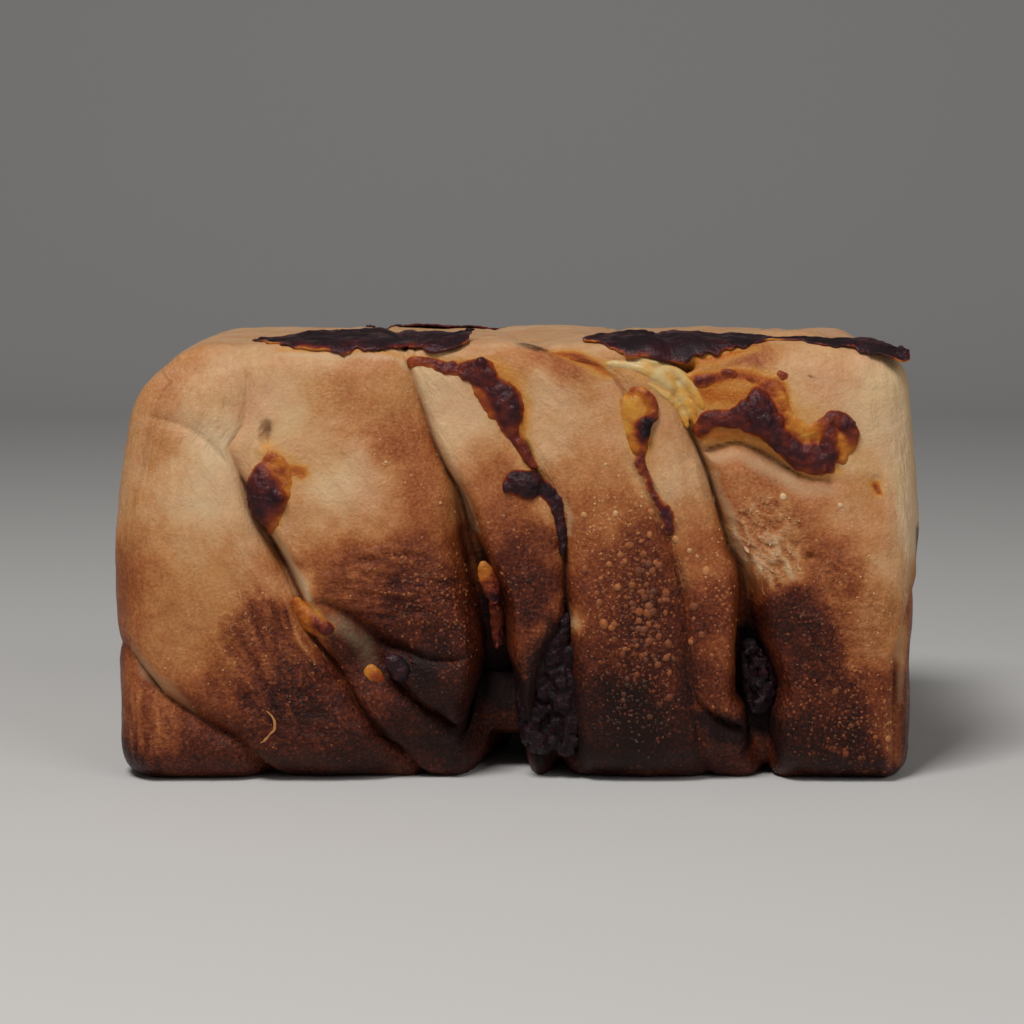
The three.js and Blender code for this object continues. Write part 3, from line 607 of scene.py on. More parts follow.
browning_and_shade = on_both_halves(block, browning_and_shade_at) + layers(plain, UNEVEN_OVEN)
browning_and_shade -= CRUMPLE_PALER * crumple * crumpled_zone + FIBRES_PALER * fibres * fibrous_zone
browning_and_shade -= DRAWN_PALER * drawn_out * drawn_zone
browning_and_shade = np.where(shown > 0.5, browning_and_shade, np.maximum(browning_and_shade, LEAST_HIDDEN))
store(dough_mesh, "browning_and_shade", browning_and_shade)
store(dough_mesh, "in_strand", in_strand * MM)
loose = LOOSE_SKIN + layers(plain, LOOSE_SPOTS)
loose += crumpled_zone + FIBRES_TORN * fibrous_zone + DRAWN_TORN * drawn_zone
store(dough_mesh, "torn", np.clip(loose, 0, 1))
print("browning from", round(float(browning_and_shade.min()), 2), "to", round(float(browning_and_shade.max()), 2))

# %% [markdown]
# Beside the browning there are stains: amber where cheese fat soaked the crust, char where cheese burnt on
# it, raw, greyish dough where a fold opened late in the oven, and a zone of tiny blisters. The char strokes
# also lay painted shade, near black, down the middle cleft and in the hollow under it. They are brush
# strokes on the label.

# %% Stains: amber, char with painted shade, raw dough and blistered zones
# lines of (along, up, radius, strength)
AMBER = [
    [(-62.5, 83, 3, 0.5), (-59, 78, 4.5, 0.7), (-58.5, 71, 3.5, 0.7), (-60, 64, 2.2, 0.6)],
    [(-58, 77, 2.2, 0.75), (-53, 77.5, 2.4, 0.8)],
    [(-52, 42.5, 2.6, 0.7), (-47, 39, 2.2, 0.7)],
    [(-27, 107, 2, 0.5), (-16, 104, 2.4, 0.6), (-8, 103, 3.4, 0.6), (-1, 99, 3.4, 0.5), (2, 92, 2.6, 0.6),
     (1.5, 84, 2.2, 0.6), (5, 77, 1.8, 0.5)],
    [(8, 112, 2, 0.7), (13.5, 109, 2.8, 0.82), (19, 105, 2.4, 0.84), (22.4, 101, 1.8, 0.7)],
    [(29, 93, 4.5, 0.5), (31, 84, 3.4, 0.6)],
    [(47, 96, 5, 0.7), (55, 96, 5, 0.66), (64, 94, 5.5, 0.62), (68, 90, 6, 0.56), (75, 88, 6.5, 0.48),
     (82, 84, 5, 0.46), (87, 79, 4, 0.24)],
    [(46, 99.5, 3, 0.9), (55, 101, 2.4, 0.9), (62, 99, 2.6, 0.8), (66, 98, 3, 0.85), (67, 92, 3, 0.75)],
    [(46, 86, 3, 0.7), (60, 86, 3, 0.6), (70, 79, 3, 0.6), (79, 78, 2.5, 0.5)],
    [(-60, 112, 2.2, 0.5), (-48, 109, 2.2, 0.45), (-30, 109, 2, 0.45)],
    [(60, 110, 2, 0.6), (50, 105.5, 2.4, 0.7), (42, 104.5, 2, 0.5)],
    [(88.7, 74, 1.5, 0.9), (88.9, 72, 1.3, 0.9)],
    [(22, 104, 3, 0.3), (34, 100, 5, 0.36), (42, 95, 5, 0.36), (45, 88, 3, 0.3)],
]
CHAR_AND_SHADE = [
    [(-62.5, 87.6, 1.1, 0.3), (-62.8, 84.6, 0.9, 0.26)],
    [(1.5, 83, 1.6, 0.6), (3.4, 79.5, 1.4, 0.5)],
    [(11.5, 57, 1.2, 0.5), (12, 49, 1, 0.42), (12.3, 43, 1.6, 0.7)],
    [(10, 38, 3.6, 0.9), (8, 30, 6.5, 1), (8, 20, 8, 1), (9.5, 8, 7.5, 1)],
    [(30, 79, 1.8, 0.4), (33.7, 71.5, 2, 0.4), (37, 63, 2.4, 0.5)],
    [(39.3, 55, 2.6, 0.36), (40.5, 49, 3, 0.44)],
    [(41.8, 33, 2.4, 0.4), (41.5, 28, 3, 0.5), (43.5, 22, 2.6, 0.5)],
    [(46, 17, 3, 0.8), (52, 14, 4, 1), (58, 12, 4.5, 1)],
    [(57.5, 36, 3, 0.8), (59.5, 27, 5, 1), (60, 20, 4.5, 1), (60.5, 6, 4.5, 1)],
    # painted shade: black down the middle cleft and in the hollow under it, where shadow falls
    [(-9, 57, 2, 0.5), (-6.5, 44, 3, 0.8), (-5, 30, 4, 1), (-2, 17, 12, 1.15), (0, 2, 13, 1.15)],
    [(106, 62, 2, 0.7), (107, 58, 2, 0.6)],
    [(2.5, 115, 3, 0.6), (6, 112.4, 2.6, 0.62), (8.4, 111, 1.6, 0.4)],
    [(74.2, 100.4, 0.4, 1), (74.3, 100, 0.4, 1)],
]
RAW = [
    [(-62, 109, 2, 0.3), (-46, 106, 1.8, 0.36), (-31, 106, 1.6, 0.4), (-27.5, 103, 1.4, 0.4)],
    [(-79, 87, 2.5, 0.36), (-74, 82, 2.5, 0.42), (-70, 75, 1.6, 0.36)],
    [(-61, 63, 0.8, 0.4), (-57, 57, 1.2, 0.6), (-54, 51.5, 1.5, 0.7), (-51.6, 46.5, 1.3, 0.6)],
    [(-45, 40.5, 3.5, 0.25), (-39, 36.5, 4.5, 0.23), (-36, 31, 4, 0.18)],
    [(-98, 33, 2.2, 0.34), (-93, 28.5, 3, 0.36), (-86, 24, 2.4, 0.28), (-79, 18.5, 1.6, 0.2)],
    [(9.6, 72.4, 1.2, 0.3), (12.4, 67, 1.2, 0.34), (12.6, 62, 1, 0.3)],
    [(45.5, 79.5, 2, 0.28), (50, 80.4, 2.4, 0.34), (56, 81.2, 2.6, 0.32), (63, 77.8, 2.8, 0.36),
     (70, 73.6, 2.8, 0.34), (78, 72.6, 2.4, 0.26)],
    [(48.6, 76, 1.6, 0.36), (51.6, 68, 1.5, 0.4), (54, 60, 1.4, 0.4), (56.6, 55, 1.6, 0.34)],
    [(97.8, 37, 1.8, 0.22), (96.7, 30, 2, 0.28), (97.2, 21, 1.8, 0.24)],
    [(-22, 93, 1.8, 0.3), (-17.5, 82, 1.6, 0.3), (-13.6, 72, 1.2, 0.4), (-10, 62, 1.2, 0.36)],
]
BLISTERED = [
    [(22, 66, 8, 0.6), (28, 50, 11, 1), (30, 34, 11, 1), (30, 14, 10, 0.7)],
    [(48, 50, 5, 0.7), (50, 30, 5, 0.7)],
    [(82, 16, 13, 1), (72, 30, 10, 0.6), (76, 50, 9, 0.4)],
    [(-30, 52, 9, 0.7), (-18, 44, 9, 1), (-14, 30, 5, 0.8)],
    [(-64, 32, 9, 0.6), (-52, 22, 9, 0.7)],
    [(-4, 62, 5, 0.5), (2, 48, 5, 0.6)],
]
print("strokes:", len(AMBER), len(CHAR_AND_SHADE), len(RAW), len(BLISTERED))

# %% [markdown]
# A stroke fades out from its line like a wet brush. The stains wander with the same drift as the browning,
# though less far. The bottoms of the folds are kept too, as painted shade: a thin dark line where shadow
# falls deep in a fold.

# %% Strokes, stored on the vertices
STROKE_DRIFT = 0.4
# half width of the painted shade in a crease, and how it darkens with the depth of its fold
CREASE_SHADE_WIDTH = 0.6
CREASE_SHADE_DEPTH, CREASE_SHADE_START, CREASE_SHADE_MOST = 9, 0.2, 0.6
BROWN_BLISTERED = 0.4


def strokes(lines, along, up):
    """Strongest of the brush strokes at each place."""
    most = np.zeros(along.shape)
    for rows in lines:
        gap, _, (radius, strength) = nearest_on_line(smooth_line(rows, 4 * len(rows)), along, up)
        most = np.maximum(most, strength * np.exp(-(gap / radius) ** 2))
    return most


def crease_shade_at(along, up):
    """How much painted shade each place gets from the bottom of a fold."""
    most = np.zeros(along.shape)
    for line, _, _ in folds:
        gap, _, (depth, _) = nearest_on_line(line, along, up)
        share = np.clip(depth / CREASE_SHADE_DEPTH - CREASE_SHADE_START, 0, CREASE_SHADE_MOST)
        most = np.maximum(most, share * np.exp(-(gap / CREASE_SHADE_WIDTH) ** 2))
    return most


stroke_along, stroke_up = shown_along + STROKE_DRIFT * drift_along, shown_up + STROKE_DRIFT * drift_up
char_and_shade = shown * strokes(CHAR_AND_SHADE, stroke_along, stroke_up)
store(dough_mesh, "char_and_shade", char_and_shade)
for name, lines in (("amber", AMBER), ("raw", RAW)):
    store(dough_mesh, name, shown * strokes(lines, stroke_along, stroke_up))
crease_shade = on_both_halves(block, crease_shade_at)
store(dough_mesh, "crease_shade", crease_shade)
blistered = on_both_halves(block, lambda along, up: strokes(BLISTERED, along, up))
blistered = np.maximum(blistered, BROWN_BLISTERED * smoothstep(browning_and_shade, 0.45, 0.75))
store(dough_mesh, "blistered", blistered)
print("kept on the vertices:", [kept.name for kept in dough_mesh.attributes if kept.domain == "POINT"])

# %% [markdown]
# ## Materials
# One small function adds a node, sets its properties and fills or links its inputs. Colours are written as
# the eye reads them, in hexadecimal sRGB, and turned into the linear values that the renderer needs.

# %% Helpers for materials
def srgb(text):
    parts = [int(text[i:i + 2], 16) / 255 for i in (1, 3, 5)]
    return (*[c / 12.92 if c <= 0.04045 else ((c + 0.055) / 1.055) ** 2.4 for c in parts], 1.0)


def per_mm(size):
    """Texture scale of a pattern whose features are `size` millimetres apart."""
    return 1 / (size * MM)


def add(tree, kind, inputs=None, stops=None, **settings):
    node = tree.nodes.new(kind)
    for name, value in settings.items():
        setattr(node, name, value)
    for key, value in (inputs or {}).items():
        if isinstance(value, bpy.types.NodeSocket):
            tree.links.new(value, node.inputs[key])
        else:
            node.inputs[key].default_value = value
    for i, (place, colour) in enumerate(stops or []):
        stop = node.color_ramp.elements[i] if i < 2 else node.color_ramp.elements.new(place)
        stop.position, stop.color = place, srgb(colour)
    return node


def new_material(name):
    material = bpy.data.materials.new(name)
    material.use_nodes = True
    tree = material.node_tree
    tree.nodes.clear()
    return material, tree


def weighted_sum(tree, start, *terms):
    """Sum of patterns, each times its weight, on top of a starting value."""
    for socket, weight in terms:
        values = {0: socket, 1: weight, 2: start}
        start = add(tree, "ShaderNodeMath", values, operation="MULTIPLY_ADD").outputs[0]
    return start


# places of the two colours and of the result among the sockets of a mix of colours
MIX_A, MIX_B, MIX_OUT = 6, 7, 2
print("cream for the renderer:", [round(part, 3) for part in srgb("#dcbf98")])

# %% [markdown]
# ## Baked crust
# The crust's colour is read from its browning, which holds painted shade low on the loaf too, and which
# patches, fibres and grains push up and down. So the patterns come first: noises of a few millimetres, some
# of them drawn out along the strands or the tears.

# %% Patterns of the crust
# Pale cream through gold to dark red brown, streaked along the strands and lightly greasy: the eye reads
# baked dough.
crust, tree = new_material("baked_crust")
SLANT = math.radians(20)
place = add(tree, "ShaderNodeTexCoord").outputs["Object"]
strand = add(tree, "ShaderNodeAttribute", attribute_name="in_strand").outputs["Vector"]
browned_and_shaded, torn, blister_zone, amber, char_and_shade_mask, unbaked, crease_shade_mask = (
    add(tree, "ShaderNodeAttribute", attribute_name=name).outputs["Fac"]
    for name in ("browning_and_shade", "torn", "blistered", "amber", "char_and_shade", "raw", "crease_shade"))
streaky, drawn_skin, shredded = (
    add(tree, "ShaderNodeMapping", {"Vector": ways, "Rotation": (0, turn, 0), "Scale": stretch}).outputs[0]
    for ways, turn, stretch in ((strand, SLANT, (1, 1, 0.3)), (strand, SLANT, (1, 1, 0.5)),
                                (place, TEAR_SLANT, (0.45, 1, 1))))
# what a pattern follows, its size in millimetres, detail, roughness and distortion
PATTERNS = {
    "patches": (place, 7, 7.0, 0.62, 0.4),
    "streaks": (streaky, 1.7, 4.0, 0.6, 1.0),
    "puckers": (drawn_skin, 2.6, 7.0, 0.66, 0.6),
    "shreds": (shredded, 1.5, 5.0, 0.65, 1.6),
    "grains": (place, 0.8, 3.0, 0.6, 0.0),
    "smooth parts": (place, 16, 2.0, 0.5, 0.0),
    "warmth": (place, 15, 4.0, 0.6, 0.0),
}
pattern = {}
for name, (ways, size, detail, roughness, distortion) in PATTERNS.items():
    pattern[name] = add(tree, "ShaderNodeTexNoise", {
        "Vector": ways, "Scale": per_mm(size), "Detail": detail, "Roughness": roughness,
        "Distortion": distortion}).outputs["Fac"]
print("patterns of the crust:", list(pattern))

# %% [markdown]
# A noise swings about one half, so one half is taken off before it shifts the tone. The shift is weaker on
# pale dough, which is even, and a little weaker on the darkest crust. The grains grow with the browning.

# %% Tone of the crust
swing = {}
for name in ("patches", "streaks", "puckers", "shreds", "grains"):
    swing[name] = add(tree, "ShaderNodeMath", {0: pattern[name], 1: 0.5}, operation="SUBTRACT").outputs[0]
# each from one browning to another, and its amounts there
graininess, on_pale, on_dark = (
    add(tree, "ShaderNodeMapRange", {
        "Value": browned_and_shaded, "From Min": start, "From Max": end, "To Min": low, "To Max": high}).outputs[0]
    for start, end, low, high in ((0.2, 0.8, 0.2, 0.62), (0.05, 0.4, 0.66, 1.0), (0.6, 0.95, 1.0, 0.9)))
torn_swing = add(tree, "ShaderNodeMath", {0: swing["shreds"], 1: torn}, operation="MULTIPLY").outputs[0]
rough_tone = weighted_sum(
    tree, 0.0, (swing["patches"], 0.32), (swing["streaks"], 0.1), (swing["grains"], graininess),
    (swing["puckers"], -0.11), (torn_swing, -0.8))
uneven = add(tree, "ShaderNodeMath", {0: on_pale, 1: on_dark}, operation="MULTIPLY").outputs[0]
shade = weighted_sum(tree, browned_and_shaded, (rough_tone, uneven))
print("tone of the crust:", len(tree.nodes), "nodes so far")

# %% [markdown]
# The smallest blisters are too many for a mesh. They are the cells of a Voronoi pattern, a millimetre and a
# half apart, of which about half are kept. They are paler than the skin round them and stand up in the bump.

# %% Fine blisters, and the colour of the crust
CRUST_STOPS = [(0.0, "#dcbf98"), (1.0, "#1e0a05"), (0.16, "#d1a67c"), (0.32, "#bf8453"), (0.48, "#a36035"),
               (0.62, "#824223"), (0.76, "#5d2816"), (0.88, "#3a160c")]
TINTS = [(0.36, "#fffdf1"), (0.64, "#fff6f4")]
cells = add(tree, "ShaderNodeTexVoronoi", {"Vector": place, "Scale": per_mm(1.5), "Randomness": 1.0})
chance = add(tree, "ShaderNodeSeparateColor", {"Color": cells.outputs["Color"]}).outputs[0]
dome, chosen = (
    add(tree, "ShaderNodeMapRange", {"Value": value, "From Min": start, "From Max": end}).outputs[0]
    for value, start, end in ((cells.outputs["Distance"], 0.42, 0.12), (chance, 0.4, 0.7)))
risen = add(tree, "ShaderNodeMath", {0: dome, 1: chosen}, operation="MULTIPLY").outputs[0]
risen = add(tree, "ShaderNodeMath", {0: risen, 1: blister_zone}, operation="MULTIPLY").outputs[0]
paler = weighted_sum(tree, shade, (risen, -0.28))
colour = add(tree, "ShaderNodeValToRGB", {"Fac": paler}, stops=CRUST_STOPS).outputs["Color"]
tint = add(tree, "ShaderNodeValToRGB", {"Fac": pattern["warmth"]}, stops=TINTS).outputs["Color"]
colour = add(tree, "ShaderNodeMix", {0: 1.0, MIX_A: colour, MIX_B: tint}, data_type="RGBA",
             blend_type="MULTIPLY").outputs[MIX_OUT]
print("tones from pale to dark:", sorted(CRUST_STOPS))

# %% [markdown]
# The stains lie over the browning. Two of them are painted shade: the dark line in the bottoms of the folds,
# and the char laid down the middle cleft. The same unevenness that mottles the crust frays their edges: it
# makes a stain stronger or weaker before it is turned into an amount of colour.

# %% Stains and painted shade on the crust
AMBER_STOPS = [(0.0, "#cfa052"), (1.0, "#5a2413"), (0.45, "#cd8c38"), (0.7, "#b4601e"), (0.88, "#85351a")]
amber_tone = weighted_sum(tree, amber, (rough_tone, 0.7))
amber_colour = add(tree, "ShaderNodeValToRGB", {"Fac": amber_tone}, stops=AMBER_STOPS).outputs["Color"]
spread = weighted_sum(tree, 1.0, (rough_tone, 2.2))
# the crease colour is painted shade; the char colour is burnt cheese, and painted shade down the middle cleft
stains_and_shade = [(unbaked, srgb("#d0b189")), (amber, amber_colour), (crease_shade_mask, srgb("#522a17")),
          (char_and_shade_mask, srgb("#190808"))]
for mask, mask_colour in stains_and_shade:
    frayed = add(tree, "ShaderNodeMath", {0: spread, 1: mask}, operation="MULTIPLY").outputs[0]
    amount = add(tree, "ShaderNodeMapRange", {
        "Value": frayed, "From Min": 0.12, "From Max": 0.62, "To Max": 0.95}).outputs[0]
    colour = add(tree, "ShaderNodeMix", {0: amount, MIX_A: colour, MIX_B: mask_colour},
                 data_type="RGBA").outputs[MIX_OUT]
print("stains:", len(stains_and_shade))

# %% [markdown]
# The finest relief is a bump: grains, streaks, puckers of the skin, torn shreds and the small blisters. Fat
# makes the crust a little glossy, more so where it is stained amber and less where it burnt or is painted
# black as shade.

# %% Relief and gloss of the crust
BUMP = 0.56 * MM
coarseness = weighted_sum(tree, 0.35, (browned_and_shaded, 0.7))
folded = add(tree, "ShaderNodeMapRange", {
    "Value": pattern["smooth parts"], "From Min": 0.36, "From Max": 0.62, "To Min": 0.45,
    "To Max": 1.5}).outputs[0]
shreds, puckered = (
    add(tree, "ShaderNodeMath", {0: pattern[name], 1: much}, operation="MULTIPLY").outputs[0]
    for name, much in (("shreds", torn), ("puckers", folded)))
height = weighted_sum(
    tree, 0.0, (pattern["grains"], coarseness), (pattern["streaks"], 0.4), (pattern["patches"], 1.2),
    (shreds, 2.2), (puckered, 1.4), (risen, 1.4))
bump = add(tree, "ShaderNodeBump", {"Strength": 0.75, "Distance": BUMP, "Height": height})
gloss = weighted_sum(tree, 0.16, (pattern["patches"], 0.4), (amber, -0.2), (char_and_shade_mask, 0.35))
surface = add(tree, "ShaderNodeBsdfPrincipled", {
    "Base Color": colour, "Roughness": gloss, "Normal": bump.outputs["Normal"], "Specular IOR Level": 0.19,
    "Subsurface Weight": 0.12, "Subsurface Scale": 2 * MM, "Subsurface Radius": (1.0, 0.5, 0.25)})
add(tree, "ShaderNodeOutputMaterial", {"Surface": surface.outputs[0]})
dough_mesh.materials.append(crust)
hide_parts("dough")
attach(dough, "root")
print("baked crust:", len(tree.nodes), "nodes")

# %% [markdown]
# ## Melted and burnt cheese
# Cheese that runs out of a fold sets in a chain of soft bubbles: amber where it is thin, dark red to black
# where it burnt. Each run is drawn as a string of flat beads on the dough, with smaller bubbles on them by
# chance, and melted together on a fine grid of voxels. Cheese deep in a fold is placed from the plain skin
# of the loaf; a run on the outside follows the dough and fills the folds that it crosses.

# %% Runs of cheese on the outside
# chains of (along, up, radius, height above the dough or the plain skin, how burnt)
RUNS = {
    "cheese_burst_left": [
        [(-62, 75.8, 4, 1.8, 0.66), (-61.6, 72.6, 5.2, 2.6, 0.82), (-61.2, 69.6, 4.9, 2.4, 0.84),
         (-61, 66.8, 3.2, 1.4, 0.62)],
        [(-61.4, 80.4, 2.2, 0.25, 0.32), (-58.8, 78.4, 2.8, 0.35, 0.32), (-57.2, 75, 2.6, 0.35, 0.36),
         (-57, 71, 2.2, 0.3, 0.34), (-58.6, 66.4, 2.2, 0.35, 0.34), (-60.2, 63.4, 1.7, 0.3, 0.32)],
    ],
    "cheese_drop_left": [
        [(-54, 45.4, 1.2, 0.2, 0.26), (-52.8, 43, 2.2, 0.6, 0.34), (-50.6, 41.4, 2.8, 0.9, 0.4),
         (-48.6, 40.2, 1.9, 0.7, 0.5)],
        [(-47.8, 39.6, 1.7, 0.9, 0.66), (-46.6, 38.8, 2, 1.2, 0.74)],
        [(-52, 39.6, 1.4, 0.25, 0.3), (-49, 37.8, 1.3, 0.25, 0.4)],
    ],
    "cheese_bean": [
        [(-26.4, 105.4, 1.7, 0.6, 0.42), (-21, 104.2, 2, 0.8, 0.58), (-15.5, 102.3, 2.2, 0.9, 0.64)],
        [(-13, 102, 2.8, 1.4, 0.56), (-9.3, 101.6, 4, 2.2, 0.72), (-7.2, 99.5, 3.6, 1.7, 0.62)],
        [(-5.6, 97, 4.4, 2.4, 0.74), (-3, 94.4, 5, 3, 0.82), (-2, 91.2, 4.4, 2.6, 0.76)],
        [(-2.2, 88.4, 2.8, 1, 0.58), (-0.2, 85, 1.7, 0.4, 0.6), (2.2, 81.4, 1.7, 0.3, 0.58),
         (4.2, 78.6, 1.3, 0.15, 0.46)],
        [(-10.4, 97.4, 1.5, 0.35, 0.38), (-8, 94, 1.8, 0.4, 0.4), (-6, 90.6, 1.6, 0.35, 0.38)],
    ],
    "cheese_knob": [
        [(0, 74.2, 3.6, 1.8, 0.84), (2.8, 73.6, 4, 2, 0.92)],
        [(5.8, 72.8, 2.6, 1.2, 0.9), (8.8, 70.8, 2.2, 0.9, 0.85), (10.4, 66, 1.7, 0.5, 0.85),
         (11, 62, 1.3, 0.3, 0.85), (11.4, 57.6, 0.8, 0.1, 0.85)],
    ],
    "cheese_bulb": [
        [(30, 93.6, 3.6, 2.2, 0.2), (30.2, 90, 4.2, 2.6, 0.15), (30, 86.5, 3.8, 2.2, 0.24),
         (30.2, 83, 3, 1.5, 0.42)],
        [(29.4, 96.6, 1.3, 1.5, 0.36), (32, 96.4, 1.4, 1.9, 0.46), (33.8, 94, 1.5, 1.9, 0.5),
         (34.2, 90.6, 1.4, 1.8, 0.44)],
        [(31.8, 88.8, 1.8, 3.1, 1.5), (31.4, 86.2, 1.7, 2.9, 1.4)],
        [(30.2, 79.6, 1.7, 0.6, 0.56), (31.8, 76, 1.6, 0.5, 0.6), (34, 71.4, 1.9, 0.45, 0.68),
         (36.4, 67.4, 2.3, 0.5, 0.72), (37.2, 63.6, 2.4, 0.5, 0.76)],
    ],
    "cheese_curl": [
        [(46.2, 87.4, 2.3, 1.1, 0.52), (48.4, 89.8, 2.7, 1.6, 0.66), (51.4, 90.2, 2.4, 1.4, 0.6),
         (54.6, 90, 2.7, 1.6, 0.68), (57.6, 92, 3.2, 2.1, 0.76)],
        [(60.2, 96, 2, 1.6, 0.64), (61, 93, 3.8, 2.5, 0.8), (62.8, 89, 4, 2.4, 0.76),
         (65, 85.6, 3, 1.8, 0.66)],
        [(57, 89, 2, 1.2, 0.6), (61, 88, 2.6, 1.8, 0.68), (64.6, 87.6, 2.4, 1.5, 0.6)],
        [(65, 85.6, 3, 1.8, 0.66), (68.4, 83, 3.4, 2, 0.72), (70.6, 80.6, 3.2, 1.9, 0.7),
         (72.6, 82, 2.8, 1.8, 0.64), (75.2, 80, 3.2, 2, 0.74), (77, 81.6, 3.2, 2, 0.72),
         (77.8, 85, 2.7, 1.8, 0.64), (77.2, 88.2, 2, 1.2, 0.54)],
        [(69.6, 78.8, 1.4, 0.8, 0.5), (73.6, 77.6, 1.4, 0.8, 0.52), (77.2, 78, 1.5, 0.9, 0.55)],
        [(77, 89.4, 1.8, 1.1, 0.48), (79.6, 90.4, 2.1, 1.5, 0.6), (82.2, 88.8, 2.3, 1.7, 0.64),
         (83.4, 86, 2, 1.4, 0.56), (82.6, 83, 1.6, 0.8, 0.38)],
        [(46.2, 99.2, 2.3, 0.5, 0.58), (48.8, 99.6, 2, 0.5, 0.62)],
        [(52.6, 101.2, 1.7, 0.4, 0.54), (54.8, 101, 1.4, 0.3, 0.5)],
        [(58.4, 100.2, 1.4, 0.35, 0.52), (59.6, 99.2, 1.2, 0.3, 0.46)],
        [(66.4, 100.8, 1.2, 0.3, 0.5), (67.6, 100.4, 1.2, 0.3, 0.56)],
        [(63, 98, 2.4, 0.3, 0.4), (66, 95.6, 2.6, 0.3, 0.36), (67, 91.6, 2.4, 0.45, 0.32),
         (69.4, 88.6, 2.6, 0.55, 0.27), (72.4, 86.6, 2.8, 0.6, 0.22), (75, 88, 2.4, 0.5, 0.24)],
        [(80.4, 87, 2, 0.8, 0.22), (80.8, 83.2, 2.4, 0.8, 0.2), (80.4, 80, 1.8, 0.5, 0.28)],
    ],
    "cheese_melt": [
        [(23, 104.6, 1, 0.2, 0.06), (28, 103.6, 1.4, 0.35, 0.04), (33, 101.6, 1.6, 0.5, 0.03),
         (37.6, 98.8, 1.7, 0.55, 0.05), (41.6, 95, 1.5, 0.5, 0.1), (44.6, 90.6, 1.3, 0.4, 0.2),
         (45.8, 87.4, 1.1, 0.2, 0.34)],
        [(31, 105.4, 1.1, 0.3, 0.05), (36, 103.8, 1.4, 0.5, 0.04), (40.6, 101.2, 1.5, 0.55, 0.04),
         (44.2, 97.6, 1.4, 0.5, 0.1), (46.6, 93, 1.2, 0.4, 0.22)],
        [(36, 101.6, 1, 0.3, 0.1), (40, 98.4, 1.1, 0.3, 0.1), (43.2, 94.6, 1, 0.3, 0.14),
         (45, 91, 0.9, 0.3, 0.22)],
        [(33.4, 98.4, 0.8, 0.2, 0.08), (37.4, 95.6, 1, 0.3, 0.08), (40.8, 92, 0.9, 0.3, 0.12),
         (42.6, 88.4, 0.8, 0.2, 0.18)],
    ],
    "cheese_back_curl": [
        [(-70, 90, 3, 1.6, 0.6), (-64, 92, 4, 2.2, 0.85), (-58, 88, 4.2, 2.6, 0.9),
         (-52, 90, 3.4, 2.2, 0.85), (-47, 86, 2.4, 1.4, 0.6)],
        [(-68, 96, 3, 0.6, 0.3), (-60, 95.5, 3.2, 0.6, 0.2), (-53, 95, 2.4, 0.5, 0.25)],
    ],
    "cheese_back_seam": [
        [(-16, 103.5, 2.2, 0.8, 0.6), (-8, 98, 3.8, 1.8, 0.85), (-1, 89, 3.4, 1.4, 0.75),
         (3.5, 79, 2.6, 0.8, 0.7), (8, 69, 3.2, 1.2, 0.9), (11.5, 57, 1.8, 0.4, 0.85)],
    ],
}
print("runs:", {name: len(chains) for name, chains in RUNS.items()})

# %% [markdown]
# Some cheese stayed deep in the folds, where the dough has no skin to follow. It is placed from the plain
# skin of the loaf instead, so its heights are below zero.

# %% Cheese deep in the folds
PLUGS = {
    "cheese_bead_under": [[(-36, 28, 1.9, -3, 0.18), (-35, 26.8, 2.2, -2.6, 0.36),
                           (-34, 25.2, 1.8, -3, 0.52)]],
    "cheese_knob_under": [[(-30.6, 31, 2, 0, 0.88), (-29.4, 29.4, 2.7, 0.5, 0.92),
                           (-28.4, 27.6, 2, 0.1, 0.9)]],
    "cheese_seam_cleft": [
        [(-8.2, 53.4, 1.6, -5.4, 0.2), (-7.4, 51.4, 2.4, -5, 0.32), (-6.4, 48.8, 2.6, -5.4, 0.52),
         (-5.8, 46.4, 2, -6.4, 0.84)],
        [(-5.6, 44, 1.6, -14, 0.6), (-5, 39, 2, -15, 0.5), (-4.6, 33, 1.5, -16, 0.6)],
    ],
    "cheese_char": [
        [(11.8, 41, 1.8, -3, 0.84), (10, 37, 3.4, -3, 0.88), (7.4, 31.5, 4.4, -3.4, 0.84),
         (4.2, 26, 3.8, -4, 0.9), (4, 19, 4.2, -4.6, 0.94), (5.5, 12, 4.6, -5, 0.98),
         (7, 5, 4.2, -5.4, 1.02)],
        [(11.6, 33, 3.4, -3, 0.82), (11, 27, 4.8, -3, 0.86), (12.4, 20, 5, -3.2, 0.92),
         (13, 13, 5, -3.8, 0.96), (13, 6, 4.6, -4.4, 1.02)],
    ],
    "cheese_pocket": [[(57.8, 33, 2.4, -9, 1), (59.2, 28.5, 3.8, -7, 1), (60.3, 24, 4.4, -6.5, 1),
                       (60.6, 20, 3.4, -7, 1)]],
    "cheese_back_pocket": [[(46, 75, 1.8, -2.5, 0.1), (49, 68, 2.8, -1, 0.2), (52, 60, 2.2, -2.5, 0.3),
                            (54.5, 53, 1.5, -4.5, 0.3)]],
}
print("plugs:", list(PLUGS))

# %% [markdown]
# A place on the label has to be found on the dough. The nearest vertex of the front is near enough, since
# the grid is finer than a millimetre there.

# %% Finding a place on the dough
dough_tree = BVHTree.FromObject(dough, bpy.context.evaluated_depsgraph_get())
on_label = KDTree(len(block))
for i in np.flatnonzero(shown > 0.99):
    on_label.insert((shown_along[i], shown_up[i], 0), i)
on_label.balance()


def vertex_at(along, up):
    """Vertex of the dough's shown half nearest to a place on the label."""
    return on_label.find((along, up, 0))[1]


print("vertex at the middle of the front:", dough_mesh.vertices[vertex_at(0, HEIGHT / 2)].co / MM)

# %% [markdown]
# A chain is a smooth line on which beads sit so close that they overlap. Burnt cheese boiled, so its beads
# get a few smaller bubbles beside them, drawn by chance with a fixed seed.

# %% Beads and bubbles
SMALL_BUBBLES = 2
BUBBLING = 0.55
BEAD_STEP = 0.4
rng = random.Random(5)


